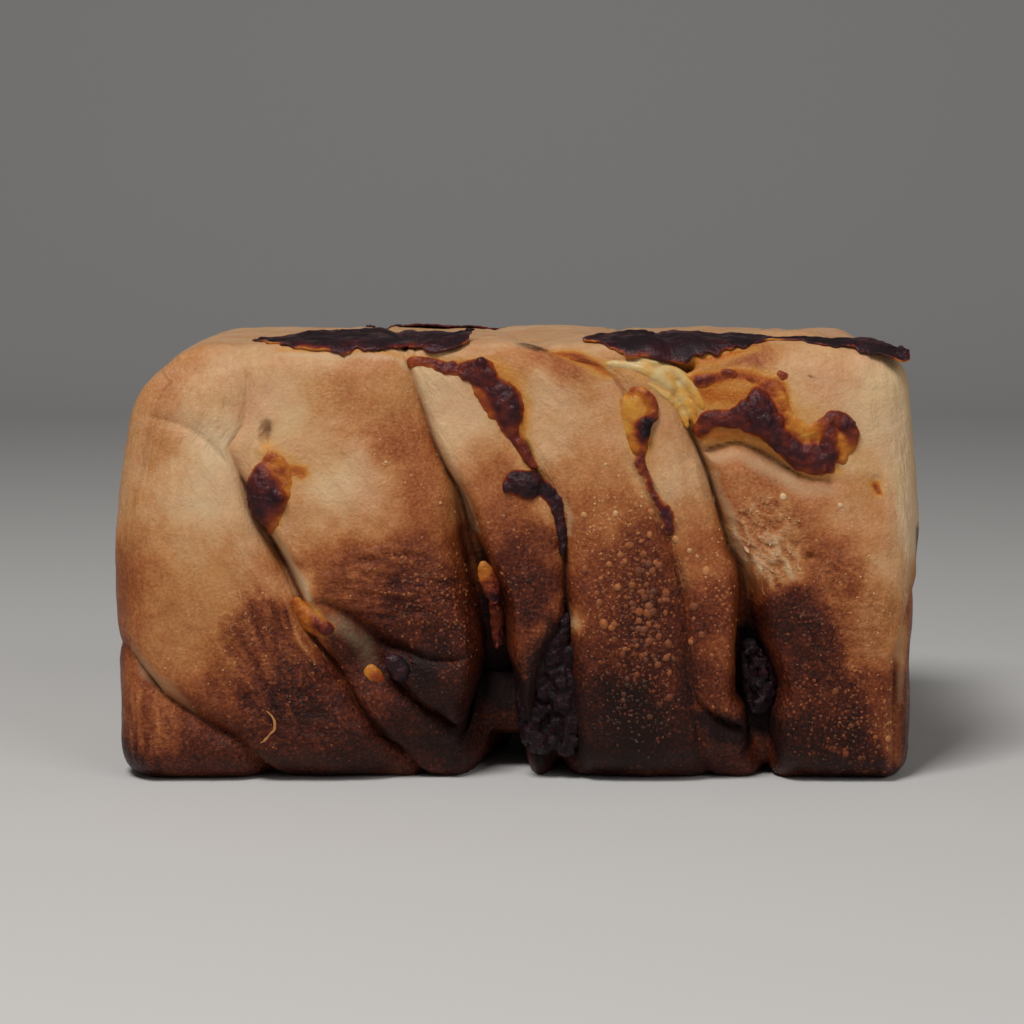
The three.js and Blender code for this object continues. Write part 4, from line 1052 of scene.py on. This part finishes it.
def chain_of_beads(rows):
    """Rows close enough together that the beads overlap."""
    line = smooth_line(rows, 24)
    length = np.hypot(*np.diff(line[:, :2], axis=0).T).sum()
    return smooth_line(rows, max(2, int(length / (BEAD_STEP * line[:, 2].min()))))


def bubbly(beads):
    """The beads with some smaller bubbles beside each of them."""
    rows = [tuple(bead) for bead in beads]
    for along, up, radius, proud, burnt in beads[beads[:, 4] > BUBBLING]:
        for _ in range(SMALL_BUBBLES):
            turn, away = rng.uniform(0, 2 * math.pi), radius * rng.uniform(0.1, 0.7)
            small = max(0.6, radius * rng.uniform(0.25, 0.5))
            rows.append((along + away * math.cos(turn), up + away * math.sin(turn), small,
                         proud * rng.uniform(0.55, 1.15) + 0.15, burnt + rng.uniform(-0.12, 0.12)))
    return np.array(rows)


print("beads in the first chain of the curl:", len(chain_of_beads(RUNS["cheese_curl"][0])))

# %% [markdown]
# Each bead is a copy of one ball, flattened against the dough. The copies are one mesh, which a voxel remesh
# melts together and a smoothing lets flow. A Boolean union could join them too, but it leaves sharp seams.

# %% Melting the beads together
VOXEL = 0.42 * MM
# thickness of a bead that lies level with the dough, and the least share of its radius
LEVEL_THICK, LEAST_THICK = 1.2, 0.35
FLOW, FLOW_STEPS = 0.5, 4
round_ball = bmesh.new()
bmesh.ops.create_icosphere(round_ball, subdivisions=3, radius=1)


def joined_copies(name, template, places):
    """One mesh of many copies of a small shape, each placed by a matrix."""
    co = np.array([vertex.co for vertex in template.verts])
    faces = np.array([[vertex.index for vertex in face.verts] for face in template.faces])
    places = np.array([np.array(place) for place in places])
    points = np.einsum("nij,kj->nki", places[:, :3, :3], co) + places[:, None, :3, 3]
    corners = faces[None] + (np.arange(len(places)) * len(co))[:, None, None]
    mesh = bpy.data.meshes.new(name)
    mesh.from_pydata(points.reshape(-1, 3), [], corners.reshape(-1, faces.shape[1]))
    return mesh


def melted(name, beads, base, behind):
    """Beads melted into one closed mesh, and the beads' centres in millimetres."""
    block_points = roll_up(beads[:, 0], beads[:, 1])
    thick = np.clip(LEVEL_THICK + beads[:, 3], LEAST_THICK * beads[:, 2], beads[:, 2])
    centres = skin(block_points, base + beads[:, 3] - thick)
    outward = skin(block_points, base + 1) - skin(block_points, base)
    if behind:
        centres, outward = centres * HALF_TURN, outward * HALF_TURN
    places = []
    for centre, way, radius, flat in zip(centres, outward, beads[:, 2], thick):
        turn = Vector(way).to_track_quat("Z", "Y").to_matrix().to_4x4()
        shape = Matrix.Diagonal((radius * MM, radius * MM, flat * MM, 1))
        places.append(Matrix.Translation(centre * MM) @ turn @ shape)
    mesh = joined_copies(name, round_ball, places)
    piece = bpy.data.objects.new(name, mesh)
    scene.collection.objects.link(piece)
    melt = piece.modifiers.new("melt", "REMESH")
    melt.mode, melt.voxel_size = "VOXEL", VOXEL
    flow = piece.modifiers.new("flow", "SMOOTH")
    flow.factor, flow.iterations = FLOW, FLOW_STEPS
    solid = bpy.data.meshes.new_from_object(piece.evaluated_get(bpy.context.evaluated_depsgraph_get()))
    piece.modifiers.clear()
    piece.data = solid
    bpy.data.meshes.remove(mesh)
    return piece, centres


print("ball of a bead:", len(round_ball.faces), "faces")

# %% [markdown]
# How burnt a point is comes from the beads near it. At the thin rim, where the cheese lies close to the
# dough, it burnt less and stays amber.

# %% How burnt the cheese is
NEAR_BEADS = 20
AMBER_RIM = 0.36
# thickness of the rim of flat cheese in millimetres, and by how much it grows with the cheese's height
RIM_THICK, RIM_GROWS = 0.3, 0.5
BURNT_FLECKS = [(0.12, 2.5, 8.2)]


def vertex_places(mesh):
    co = np.empty(len(mesh.vertices) * 3)
    mesh.vertices.foreach_get("co", co)
    return co.reshape(-1, 3) / MM


def burnt_share(co, centres, beads, rim_share):
    """How burnt each point is: that of the beads nearby, and less at the thin rim."""
    finder = KDTree(len(centres))
    for i, centre in enumerate(centres):
        finder.insert(centre, i)
    finder.balance()
    local = []
    for point in co:
        found = finder.find_n(point, NEAR_BEADS)
        weights = [math.exp(-(gap / beads[i, 2]) ** 2) + 1e-9 for _, i, gap in found]
        proud = sum(w * beads[i, 3] for w, (_, i, _) in zip(weights, found))
        burnt = sum(w * beads[i, 4] for w, (_, i, _) in zip(weights, found))
        local.append((proud / sum(weights), burnt / sum(weights)))
    proud, share = np.array(local).T
    thin = np.array([dough_tree.find_nearest(Vector(p * MM))[3] / MM for p in co])
    rim = 1 - smoothstep(thin / (RIM_THICK + RIM_GROWS * np.maximum(proud, 0)), 0.1, 1)
    return share - rim_share * rim * np.maximum(share - AMBER_RIM, 0) + layers(co, BURNT_FLECKS)


print("burnt share is read from the", NEAR_BEADS, "nearest beads")

# %% [markdown]
# Burnt cheese is wrinkled all over, pale cheese is soft and nearly smooth. The wrinkles move the vertices
# along their normals.

# %% Crinkles in the cheese
CRINKLES = [(0.34, 1.6, 6.1), (0.14, 0.8, 2.1)]
SOFT_CHEESE, BURNT_CHEESE = 0.4, 1.5


def crinkle_cheese(mesh, share):
    """Fine wrinkles all over the cheese, less of them where it is pale and soft."""
    normal = np.empty(len(mesh.vertices) * 3)
    mesh.vertices.foreach_get("normal", normal)
    co = vertex_places(mesh)
    rise = layers(co, CRINKLES)
    rise *= lerp(SOFT_CHEESE, BURNT_CHEESE, smoothstep(share, 0.1, 0.9))
    co = co + normal.reshape(-1, 3) * rise[:, None]
    mesh.vertices.foreach_set("co", (co * MM).ravel())
    mesh.update()
    mesh.shade_smooth()


print("crinkles:", CRINKLES)

# %% [markdown]
# Now every run and plug is made in turn. A run lies on the relief of the dough but bridges its deepest folds,
# and only a run has a thin amber rim.

# %% Making the cheese
SINKS = -1.0
RIM_PALER = 0.8
cheese = {}
for name, chains in (RUNS | PLUGS).items():
    beads = bubbly(np.vstack([chain_of_beads(rows) for rows in chains]))
    base = np.zeros(len(beads))
    if name in RUNS:
        base = np.maximum([lift[vertex_at(x, z)] for x, z in beads[:, :2]], SINKS)
    piece, centres = melted(name.replace("cheese", "melted"), beads, base, "back" in name)
    rim_share = RIM_PALER if name in RUNS else 0
    share = burnt_share(vertex_places(piece.data), centres, beads, rim_share)
    crinkle_cheese(piece.data, share)
    store(piece.data, "burnt", share)
    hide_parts(name)
    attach(piece, "root")
    cheese[name] = piece
print("cheese:", {name: len(piece.data.polygons) for name, piece in cheese.items()})

# %% [markdown]
# The cheese is one material from yellow to black, read from how burnt it is. It is glossy with fat, and dull
# only where it is scorched dry.

# %% Melted and burnt cheese
# Yellow, amber, red brown and black in one glossy mass, a little see-through: the eye reads cheese from
# the oven.
CHEESE_STOPS = [(0.0, "#ceb27c"), (1.0, "#1a0b0e"), (0.14, "#cf9640"), (0.3, "#b96c22"), (0.45, "#8f3d19"),
                (0.6, "#64241b"), (0.75, "#431a1d"), (0.88, "#2a1117")]
burnt_cheese, tree = new_material("burnt_cheese")
place = add(tree, "ShaderNodeTexCoord").outputs["Object"]
burnt = add(tree, "ShaderNodeAttribute", attribute_name="burnt").outputs["Fac"]
fleck, blebs = (
    add(tree, "ShaderNodeTexNoise", {
        "Vector": place, "Scale": per_mm(size), "Detail": detail, "Roughness": 0.6}).outputs["Fac"]
    for size, detail in ((1.8, 4.0), (0.8, 3.0)))
cooked, scorched = (
    add(tree, "ShaderNodeMapRange", {
        "Value": burnt, "From Min": start, "From Max": end, "To Min": low, "To Max": high}).outputs[0]
    for start, end, low, high in ((0.0, 0.4, 0.3, 1.0), (0.84, 0.98, 0.06, 0.51)))
flecked = weighted_sum(tree, -0.18, (fleck, 0.36))
shade = weighted_sum(tree, burnt, (flecked, cooked))
colour = add(tree, "ShaderNodeValToRGB", {"Fac": shade}, stops=CHEESE_STOPS)
crinkled = add(tree, "ShaderNodeMath", {0: blebs, 1: cooked}, operation="MULTIPLY").outputs[0]
bump = add(tree, "ShaderNodeBump", {"Strength": 0.8, "Distance": 0.5 * MM, "Height": crinkled})
gloss = weighted_sum(tree, scorched, (fleck, 0.4))
surface = add(tree, "ShaderNodeBsdfPrincipled", {
    "Base Color": colour.outputs["Color"], "Roughness": gloss, "Normal": bump.outputs["Normal"],
    "Specular IOR Level": 0.21, "Subsurface Weight": 0.12, "Subsurface Scale": 1.5 * MM,
    "Subsurface Radius": (1.0, 0.45, 0.15)})
add(tree, "ShaderNodeOutputMaterial", {"Surface": surface.outputs[0]})
print("burnt cheese:", len(tree.nodes), "nodes")

# %% [markdown]
# Two lumps burnt through to charcoal: the mass at the foot of the narrow strand, and the one in the pocket.
# They get a material of their own, because charcoal is not the dark end of amber.

# %% Charred cheese
# Coal black with a breath of purple, full of tiny cinders of which a few glint: the eye reads cheese burnt
# to a cinder.
CINDER_STOPS = [(0.3, "#0a0406"), (0.8, "#52222c"), (0.55, "#1f0a10")]
CHARRED = {"cheese_char", "cheese_pocket"}
charred_cheese, tree = new_material("charred_cheese")
place = add(tree, "ShaderNodeTexCoord").outputs["Object"]
cinders = add(tree, "ShaderNodeTexNoise", {
    "Vector": place, "Scale": per_mm(1.6), "Detail": 5.0, "Roughness": 0.65, "Distortion": 0.8})
cinders = cinders.outputs["Fac"]
colour = add(tree, "ShaderNodeValToRGB", {"Fac": cinders}, stops=CINDER_STOPS)
bump = add(tree, "ShaderNodeBump", {"Strength": 0.9, "Distance": 0.8 * MM, "Height": cinders})
surface = add(tree, "ShaderNodeBsdfPrincipled", {
    "Base Color": colour.outputs["Color"], "Roughness": weighted_sum(tree, 0.74, (cinders, -0.9)),
    "Normal": bump.outputs["Normal"], "Specular IOR Level": 0.18})
add(tree, "ShaderNodeOutputMaterial", {"Surface": surface.outputs[0]})
for name, piece in cheese.items():
    piece.data.materials.append(charred_cheese if name in CHARRED else burnt_cheese)
print("charred:", sorted(CHARRED))

# %% [markdown]
# ## Crisps and peeling crust
# On the tin's base a little cheese fried into thin dark sheets. They now lie on the top edge of the loaf.
# Each sheet is a grid laid on the dough along a line, with a ragged rim, and then given its thickness. Thin
# slivers of crust that peel off are made the same way.

# %% Sheets of fried cheese
# rows of (along, up, half width, height above the dough)
CRISPS = {
    "crisp_left": [(-68, 130, 2, 0.4), (-59, 126, 9, 0.6), (-50, 124, 14, 0.7), (-42, 124, 16, 0.8),
                   (-32, 124, 15, 0.9), (-24, 122, 11, 1), (-17, 117, 10, 1.4), (-12, 116, 4, 1.6)],
    "crisp_middle": [(17, 121, 4, 0.6), (22, 121, 7, 0.8), (28.7, 120, 13, 1), (36.3, 119, 14.5, 1.4),
                     (46.5, 120, 13, 1.2), (56.8, 121, 9, 0.8), (66, 121, 4, 0.6)],
    "crisp_right": [(62, 120, 3, 0.4), (74, 119, 4, 0.5), (84, 116, 5, 0.7), (91, 114, 5.5, 1.4),
                    (95, 111.5, 5, 2.6), (98.5, 108, 3.6, 4.2), (101.4, 105, 1.5, 5.4)],
    "crisp_back": [(2, 111, 3, 0.2), (12, 114, 8, 0.2), (24, 115, 9, 0.2), (35, 114, 7, 0.2),
                   (42, 112, 3, 0.2)],
}
CURL = 1.2
# half widths from which a sheet waves and curls in full
WAVE_WIDTH, CURL_WIDTH = 4, 14
LINE_STEPS = 200
# share of the half width, or height in millimetres; length of a wave and seed
RAGGED = [(0.4, 7, 2.7), (0.26, 2.2, 5.1)]
WAVES = [(0.45, 5, 1.9), (0.2, 2, 7.9)]
# how far apart in the noise two sheets, and the two rims of a sheet, are
SHEET_GAP, RIM_GAP = 3.0, 7.0


def laid_sheet(rows, segments, seed):
    """Grid laid on the dough along a line, and how near each vertex is to the rim and to the front rim."""
    bm = bmesh.new()
    bmesh.ops.create_grid(bm, x_segments=segments[0], y_segments=segments[1], size=1)
    u, v = np.array([vertex.co.xy for vertex in bm.verts]).T
    line = smooth_line(rows, LINE_STEPS)
    way = np.gradient(line[:, :2], axis=0)
    way /= np.linalg.norm(way, axis=1, keepdims=True)
    at, steps = (u + 1) / 2 * LINE_STEPS, np.arange(LINE_STEPS + 1)
    along, up, half, proud = (np.interp(at, steps, column) for column in line.T)
    way_along, way_up = (np.interp(at, steps, column) for column in way.T)
    own_place = np.full(len(u), SHEET_GAP * seed)
    aside = v * half * (1 + layers(np.stack([along, np.sign(v) * RIM_GAP, own_place], axis=1), RAGGED))
    along, up = along - way_up * aside, up + way_along * aside
    base = np.maximum([lift[vertex_at(*spot)] for spot in zip(along, up)], SINKS)
    waves = np.minimum(half / WAVE_WIDTH, 1) * layers(np.stack([along, up, own_place], axis=1), WAVES)
    curled = CURL * np.minimum(half / CURL_WIDTH, 1) * smoothstep(v, 0.2, 1)
    for vertex, point in zip(bm.verts, skin(roll_up(along, up), base + proud + waves + curled)):
        vertex.co = Vector(point * MM)
    bmesh.ops.smooth_vert(bm, verts=bm.verts, factor=0.5, use_axis_x=True, use_axis_y=True, use_axis_z=True)
    return bm, np.maximum(np.abs(v) ** 6, np.abs(u) ** 12), np.clip(-4 * v - 3, 0, 1)


print("sheets to make:", list(CRISPS))

# %% [markdown]
# A grid has no thickness. Solidify gives it one, and the sheet is closed all round. How burnt it is goes onto
# the vertices before that, so that both faces have it: black in the middle, amber along the front rim.

# %% Finishing the sheets
SHEET = 0.5
SHEET_GRID = (110, 24)
BURNT_SHEET, RIM_LIGHTER, FRONT_LIGHTER = 0.94, 0.2, 0.45
SHEET_FLECKS = [(0.2, 7, 3.3), (0.1, 2, 1.2)]


def finished_sheet(name, bm, layer, values):
    """Sheet with its thickness and a value on each vertex, as an object."""
    shares = bm.verts.layers.float.new(layer)
    for vertex, value in zip(bm.verts, values):
        vertex[shares] = value
    bmesh.ops.recalc_face_normals(bm, faces=bm.faces)
    bmesh.ops.solidify(bm, geom=bm.faces[:], thickness=SHEET * MM)
    bmesh.ops.recalc_face_normals(bm, faces=bm.faces)
    mesh = bpy.data.meshes.new(name)
    bm.to_mesh(mesh)
    bm.free()
    mesh.shade_smooth()
    piece = bpy.data.objects.new(name, mesh)
    scene.collection.objects.link(piece)
    return piece


for seed, (name, rows) in enumerate(CRISPS.items()):
    bm, rim, front_rim = laid_sheet(rows, SHEET_GRID, seed)
    if "back" in name:
        bmesh.ops.rotate(bm, verts=bm.verts, cent=(0, 0, 0), matrix=Matrix.Rotation(math.pi, 3, "Z"))
    co = np.array([vertex.co for vertex in bm.verts]) / MM
    burnt = BURNT_SHEET + layers(co, SHEET_FLECKS) - RIM_LIGHTER * rim
    burnt -= FRONT_LIGHTER * front_rim * np.clip(0.4 + 3 * ripple(co, 6, 8.8), 0, 1)
    piece = finished_sheet(name.replace("crisp", "fried_sheet"), bm, "burnt", burnt)
    piece.data.materials.append(burnt_cheese)
    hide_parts(name)
    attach(piece, "root")
    print(piece.name, len(piece.data.polygons), "faces")

# %% [markdown]
# Two slivers of skin peel off the left lobe and catch the light. They are sheets too, a fraction of a
# millimetre wide and arched off the dough.

# %% Slivers of peeling crust
PEEL_TONE = 0.34
PEEL_GRID, PEEL_SEED = (40, 6), 20
PEELS = [
    [(-61.6, 19.4, 0.1, 0.1), (-59.9, 17.6, 0.25, 0.5), (-59.6, 15.2, 0.35, 0.6), (-60.8, 13.8, 0.2, 0.3),
     (-61.8, 12.6, 0.3, 0.4), (-63.2, 11.6, 0.1, 0.1)],
    [(-68.4, 49.5, 0.1, 0.1), (-67.6, 47.5, 0.3, 0.4), (-67.3, 45.4, 0.1, 0.1)],
]
for seed, rows in enumerate(PEELS):
    bm, rim, _ = laid_sheet(rows, PEEL_GRID, seed + PEEL_SEED)
    piece = finished_sheet("crust_peel_" + str(seed + 1), bm, "browning_and_shade", np.full(len(rim), PEEL_TONE))
    piece.data.materials.append(crust)
    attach(piece, "root")
print("peels:", len(PEELS))

# %% [markdown]
# ## Blisters
# Where the oven was hottest the skin rose in pale blisters of one or two millimetres. The larger ones are
# little domes set on the dough, scattered by chance but the same each time, on both sides of the loaf.

# %% Blisters
# middle of a zone (along, up), its spread along and up, how many, largest radius
BLISTER_ZONES = [
    (30, 49, 7, 8, 180, 1.25), (31, 34, 7, 8, 130, 1.05), (28, 44, 7, 12, 420, 0.4),
    (31, 22, 7, 9, 260, 0.4), (24, 62, 5, 6, 80, 0.45),
    (49, 42, 3.5, 12, 110, 0.45), (84, 12, 6, 5, 46, 1.0), (84, 16, 8, 7, 260, 0.4),
    (74, 27, 8, 9, 180, 0.4), (72, 60, 9, 8, 20, 0.4),
    (-20, 46, 7, 6, 220, 0.45), (-13, 36, 3, 4, 50, 0.4), (-57, 28, 10, 10, 240, 0.35),
    (-1, 56, 4, 8, 60, 0.4), (-27, 78, 5, 8, 30, 0.45),
    (86, 46, 6, 10, 60, 0.35),
]
# two large pale ones on the right lobe
PALE_BLISTERS = [(66, 71, 0.95), (80, 69.5, 0.8)]
FLAT = 0.7
SUNK = 0.25
SMALLEST, MOSTLY_SMALL = 0.22, 1.5
BLISTER_PALER = 0.14
JITTER = 0.45
PALE_TONE, LEAST_TONE = 0.05, 0.15
# more char, painted shade in the cleft or painted shade in a crease than this, and no blister rises
MOST_CHAR_AND_SHADE, MOST_CREASE_SHADE = 0.2, 0.15
# one blister in four goes to the hidden half
HIDDEN_BLISTER = 4
ball = bmesh.new()
bmesh.ops.create_icosphere(ball, subdivisions=2, radius=1)
places, tones = [], []


def raise_blister(spot, normal, size, tone):
    turn = normal.to_track_quat("Z", "Y").to_matrix().to_4x4()
    turn = turn @ Matrix.Rotation(rng.uniform(0, math.pi), 4, "Z")
    aside = Vector((rng.uniform(-JITTER, JITTER), rng.uniform(-JITTER, JITTER), 0))
    spot = spot + turn.to_3x3() @ aside * MM
    shape = Matrix.Diagonal((size * MM, size * rng.uniform(0.9, 1.4) * MM, size * FLAT * MM, 1))
    places.append(Matrix.Translation(spot - normal * SUNK * size * MM) @ turn @ shape)
    tones.extend([tone] * len(ball.verts))


for along, up, wide, tall, count, largest in BLISTER_ZONES:
    for k in range(count):
        size = lerp(SMALLEST, largest, rng.random() ** MOSTLY_SMALL)
        i = vertex_at(rng.gauss(along, wide), max(2, rng.gauss(up, tall)))
        if char_and_shade[i] > MOST_CHAR_AND_SHADE or crease_shade[i] > MOST_CREASE_SHADE:
            continue
        spot, normal = dough_mesh.vertices[i].co, dough_mesh.vertices[i].normal
        if k % HIDDEN_BLISTER == HIDDEN_BLISTER - 1:
            spot, normal, _, _ = dough_tree.find_nearest(spot * Vector(HALF_TURN))
        raise_blister(spot, normal, size, max(LEAST_TONE, browning_and_shade[i] - rng.uniform(0.04, 0.26)))
for along, up, size in PALE_BLISTERS:
    i = vertex_at(along, up)
    raise_blister(dough_mesh.vertices[i].co, dough_mesh.vertices[i].normal, size, PALE_TONE)
print("blisters:", len(places))

# %% [markdown]
# The domes become one mesh with the crust's own material. Each has a tone a little paler than the skin it
# rose from.

# %% Mesh of the blisters
blister_mesh = joined_copies("blisters", ball, places)
store(blister_mesh, "browning_and_shade", tones)
store(blister_mesh, "raw", np.full(len(tones), BLISTER_PALER))
blister_mesh.shade_smooth()
blister_mesh.materials.append(crust)
blisters = bpy.data.objects.new("crust_blisters", blister_mesh)
scene.collection.objects.link(blisters)
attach(blisters, "root")
print("blisters:", len(blister_mesh.polygons), "faces")

# %% [markdown]
# ## Flakes
# Where the crust tore it frays into flakes of a millimetre or three, which stand off the dough on one side
# and catch the light. Each is a small bent scale, and all of them are one mesh.

# %% Flakes of torn crust
# middle of a zone (along, up), its spread along and up, how many, slant of the flakes in degrees
FLAKE_ZONES = [(61, 64, 5, 4, 70, -40), (62, 53, 4, 3, 40, 15), (80, 44, 6, 8, 30, -30),
               (-63, 38, 7, 6, 24, -35), (-30, 52, 8, 5, 24, -70), (-56, 16, 10, 5, 16, -60),
               (10.8, 63, 1.2, 4, 14, -80)]
FLAKE_TILT = math.radians(24)
FLAKE_SINK = 0.12
FLAKE_PALER = 0.2
# width and bend of a flake as shares of its length
FLAKE_WIDE, FLAKE_BENT = 0.4, 0.6
# form of a flake of length 2: how much narrower its tips are, how it curves to them, its arch and thickness
TIP_NARROWER, TIP_CURVE, ARCH, FLAKE_THICK = 0.75, 1.6, 0.3, 0.18
# one flake in three goes to the hidden half
HIDDEN_FLAKE = 3
scale = bmesh.new()
bmesh.ops.create_grid(scale, x_segments=2, y_segments=4, size=1)
for vertex in scale.verts:
    vertex.co.x *= 1 - TIP_NARROWER * abs(vertex.co.y) ** TIP_CURVE
    vertex.co.z = ARCH * vertex.co.y ** 2
bmesh.ops.recalc_face_normals(scale, faces=scale.faces)
bmesh.ops.solidify(scale, geom=scale.faces[:], thickness=FLAKE_THICK)
bmesh.ops.recalc_face_normals(scale, faces=scale.faces)
scale.verts.index_update()
places, tones = [], []
for along, up, wide, tall, count, slant in FLAKE_ZONES:
    for k in range(count):
        i = vertex_at(rng.gauss(along, wide), max(3, rng.gauss(up, tall)))
        spot, normal = dough_mesh.vertices[i].co, dough_mesh.vertices[i].normal
        if k % HIDDEN_FLAKE == HIDDEN_FLAKE - 1:
            spot, normal, _, _ = dough_tree.find_nearest(spot * Vector(HALF_TURN))
        size, turned = rng.uniform(0.4, 1.1), math.radians(slant + rng.uniform(-30, 30))
        turn = normal.to_track_quat("Z", "Y").to_matrix().to_4x4()
        turn = turn @ Matrix.Rotation(turned, 4, "Z") @ Matrix.Rotation(FLAKE_TILT, 4, "Y")
        shape = Matrix.Diagonal((FLAKE_WIDE * size * MM, size * MM, FLAKE_BENT * size * MM, 1))
        places.append(Matrix.Translation(spot - normal * FLAKE_SINK * MM) @ turn @ shape)
        tones.extend([max(0.1, browning_and_shade[i] - rng.uniform(0.0, 0.12))] * len(scale.verts))
flake_mesh = joined_copies("flakes", scale, places)
store(flake_mesh, "browning_and_shade", tones)
store(flake_mesh, "raw", np.full(len(tones), FLAKE_PALER))
flake_mesh.materials.append(crust)
flakes = bpy.data.objects.new("crust_flakes", flake_mesh)
scene.collection.objects.link(flakes)
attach(flakes, "root")
print("flakes:", len(places))

# %% [markdown]
# ## Floor, light and camera
# The loaf stands on a plain pale floor that bends up into a backdrop, like a sheet of paper in a studio. An
# edge is drawn back over the floor, spun through a quarter turn and drawn up.

# %% Floor
FLOOR_FRONT, FLOOR_BACK, FLOOR_HALF_WIDTH = -4.0, 1.1, 4.0
SWEEP_RADIUS, WALL_HEIGHT = 0.6, 4.0
bm = bmesh.new()
corners = [bm.verts.new((x, FLOOR_FRONT, 0)) for x in (-FLOOR_HALF_WIDTH, FLOOR_HALF_WIDTH)]
edge = [bm.edges.new(corners)]


def carry(edge, way):
    """Draw an edge on by a straight stretch, and return its new place."""
    drawn = bmesh.ops.extrude_edge_only(bm, edges=edge)["geom"]
    bmesh.ops.translate(bm, verts=[v for v in drawn if isinstance(v, bmesh.types.BMVert)], vec=way)
    edges = [e for e in drawn if isinstance(e, bmesh.types.BMEdge)]
    return [e for e in edges if abs(e.verts[0].co.x - e.verts[1].co.x) > FLOOR_HALF_WIDTH]


edge = carry(edge, (0, FLOOR_BACK - FLOOR_FRONT, 0))
bent = bmesh.ops.spin(bm, geom=edge, cent=(0, FLOOR_BACK, SWEEP_RADIUS), axis=(1, 0, 0), angle=math.pi / 2,
                      steps=24)
edge = carry([e for e in bent["geom_last"] if isinstance(e, bmesh.types.BMEdge)], (0, 0, WALL_HEIGHT))
bmesh.ops.remove_doubles(bm, verts=bm.verts, dist=EDGE)
bmesh.ops.recalc_face_normals(bm, faces=bm.faces)
floor_mesh = bpy.data.meshes.new("floor")
bm.to_mesh(floor_mesh)
bm.free()
floor_mesh.shade_smooth()
floor = bpy.data.objects.new("floor", floor_mesh)
scene.collection.objects.link(floor)
# Matt off-white paper, which takes soft shadows and gives the eye nothing else to look at.
paper, tree = new_material("pale_paper")
surface = add(tree, "ShaderNodeBsdfPrincipled", {"Base Color": srgb("#cfccc8"), "Roughness": 0.8})
add(tree, "ShaderNodeOutputMaterial", {"Surface": surface.outputs[0]})
floor_mesh.materials.append(paper)
print("floor:", len(floor_mesh.polygons), "faces")

# %% [markdown]
# Soft light comes mostly from above, in front and a little from the left, as in the photo. A weaker, wider
# lamp on the right opens the shadows, and a dim pale sky fills the rest.

# %% Light
world = bpy.data.worlds.new("studio")
scene.world = world
world.use_nodes = True
world.node_tree.nodes["Background"].inputs["Color"].default_value = srgb("#e6e8ec")
world.node_tree.nodes["Background"].inputs["Strength"].default_value = 0.13
scene.view_settings.view_transform = "Standard"


def softbox(name, place, aim, size, power):
    lamp = bpy.data.lights.new(name, "AREA")
    lamp.shape, lamp.size, lamp.energy = "SQUARE", size, power
    box = bpy.data.objects.new(name, lamp)
    box.location = place
    box.rotation_euler = (Vector(aim) - Vector(place)).to_track_quat("-Z", "Y").to_euler()
    scene.collection.objects.link(box)


softbox("key", (-0.28, -0.55, 1.0), (0, 0, 0.06), 0.35, 9)
softbox("fill", (0.6, -0.8, 0.7), (0, 0, 0.06), 0.6, 2.2)

# %% [markdown]
# The camera looks at the front from about 65 cm away, nearly level, through a long lens.

# %% Camera
LENS = 94.5
LOOKS_DOWN = 6.6
camera = bpy.data.objects.new("camera", bpy.data.cameras.new("camera"))
camera.data.lens = LENS
camera.data.clip_end = 20
camera.location = (-0.0012, -0.703, 0.143)
camera.rotation_euler = (math.radians(90 - LOOKS_DOWN), 0, 0)
scene.collection.objects.link(camera)
scene.camera = camera
print("camera:", tuple(camera.location), "lens", LENS)
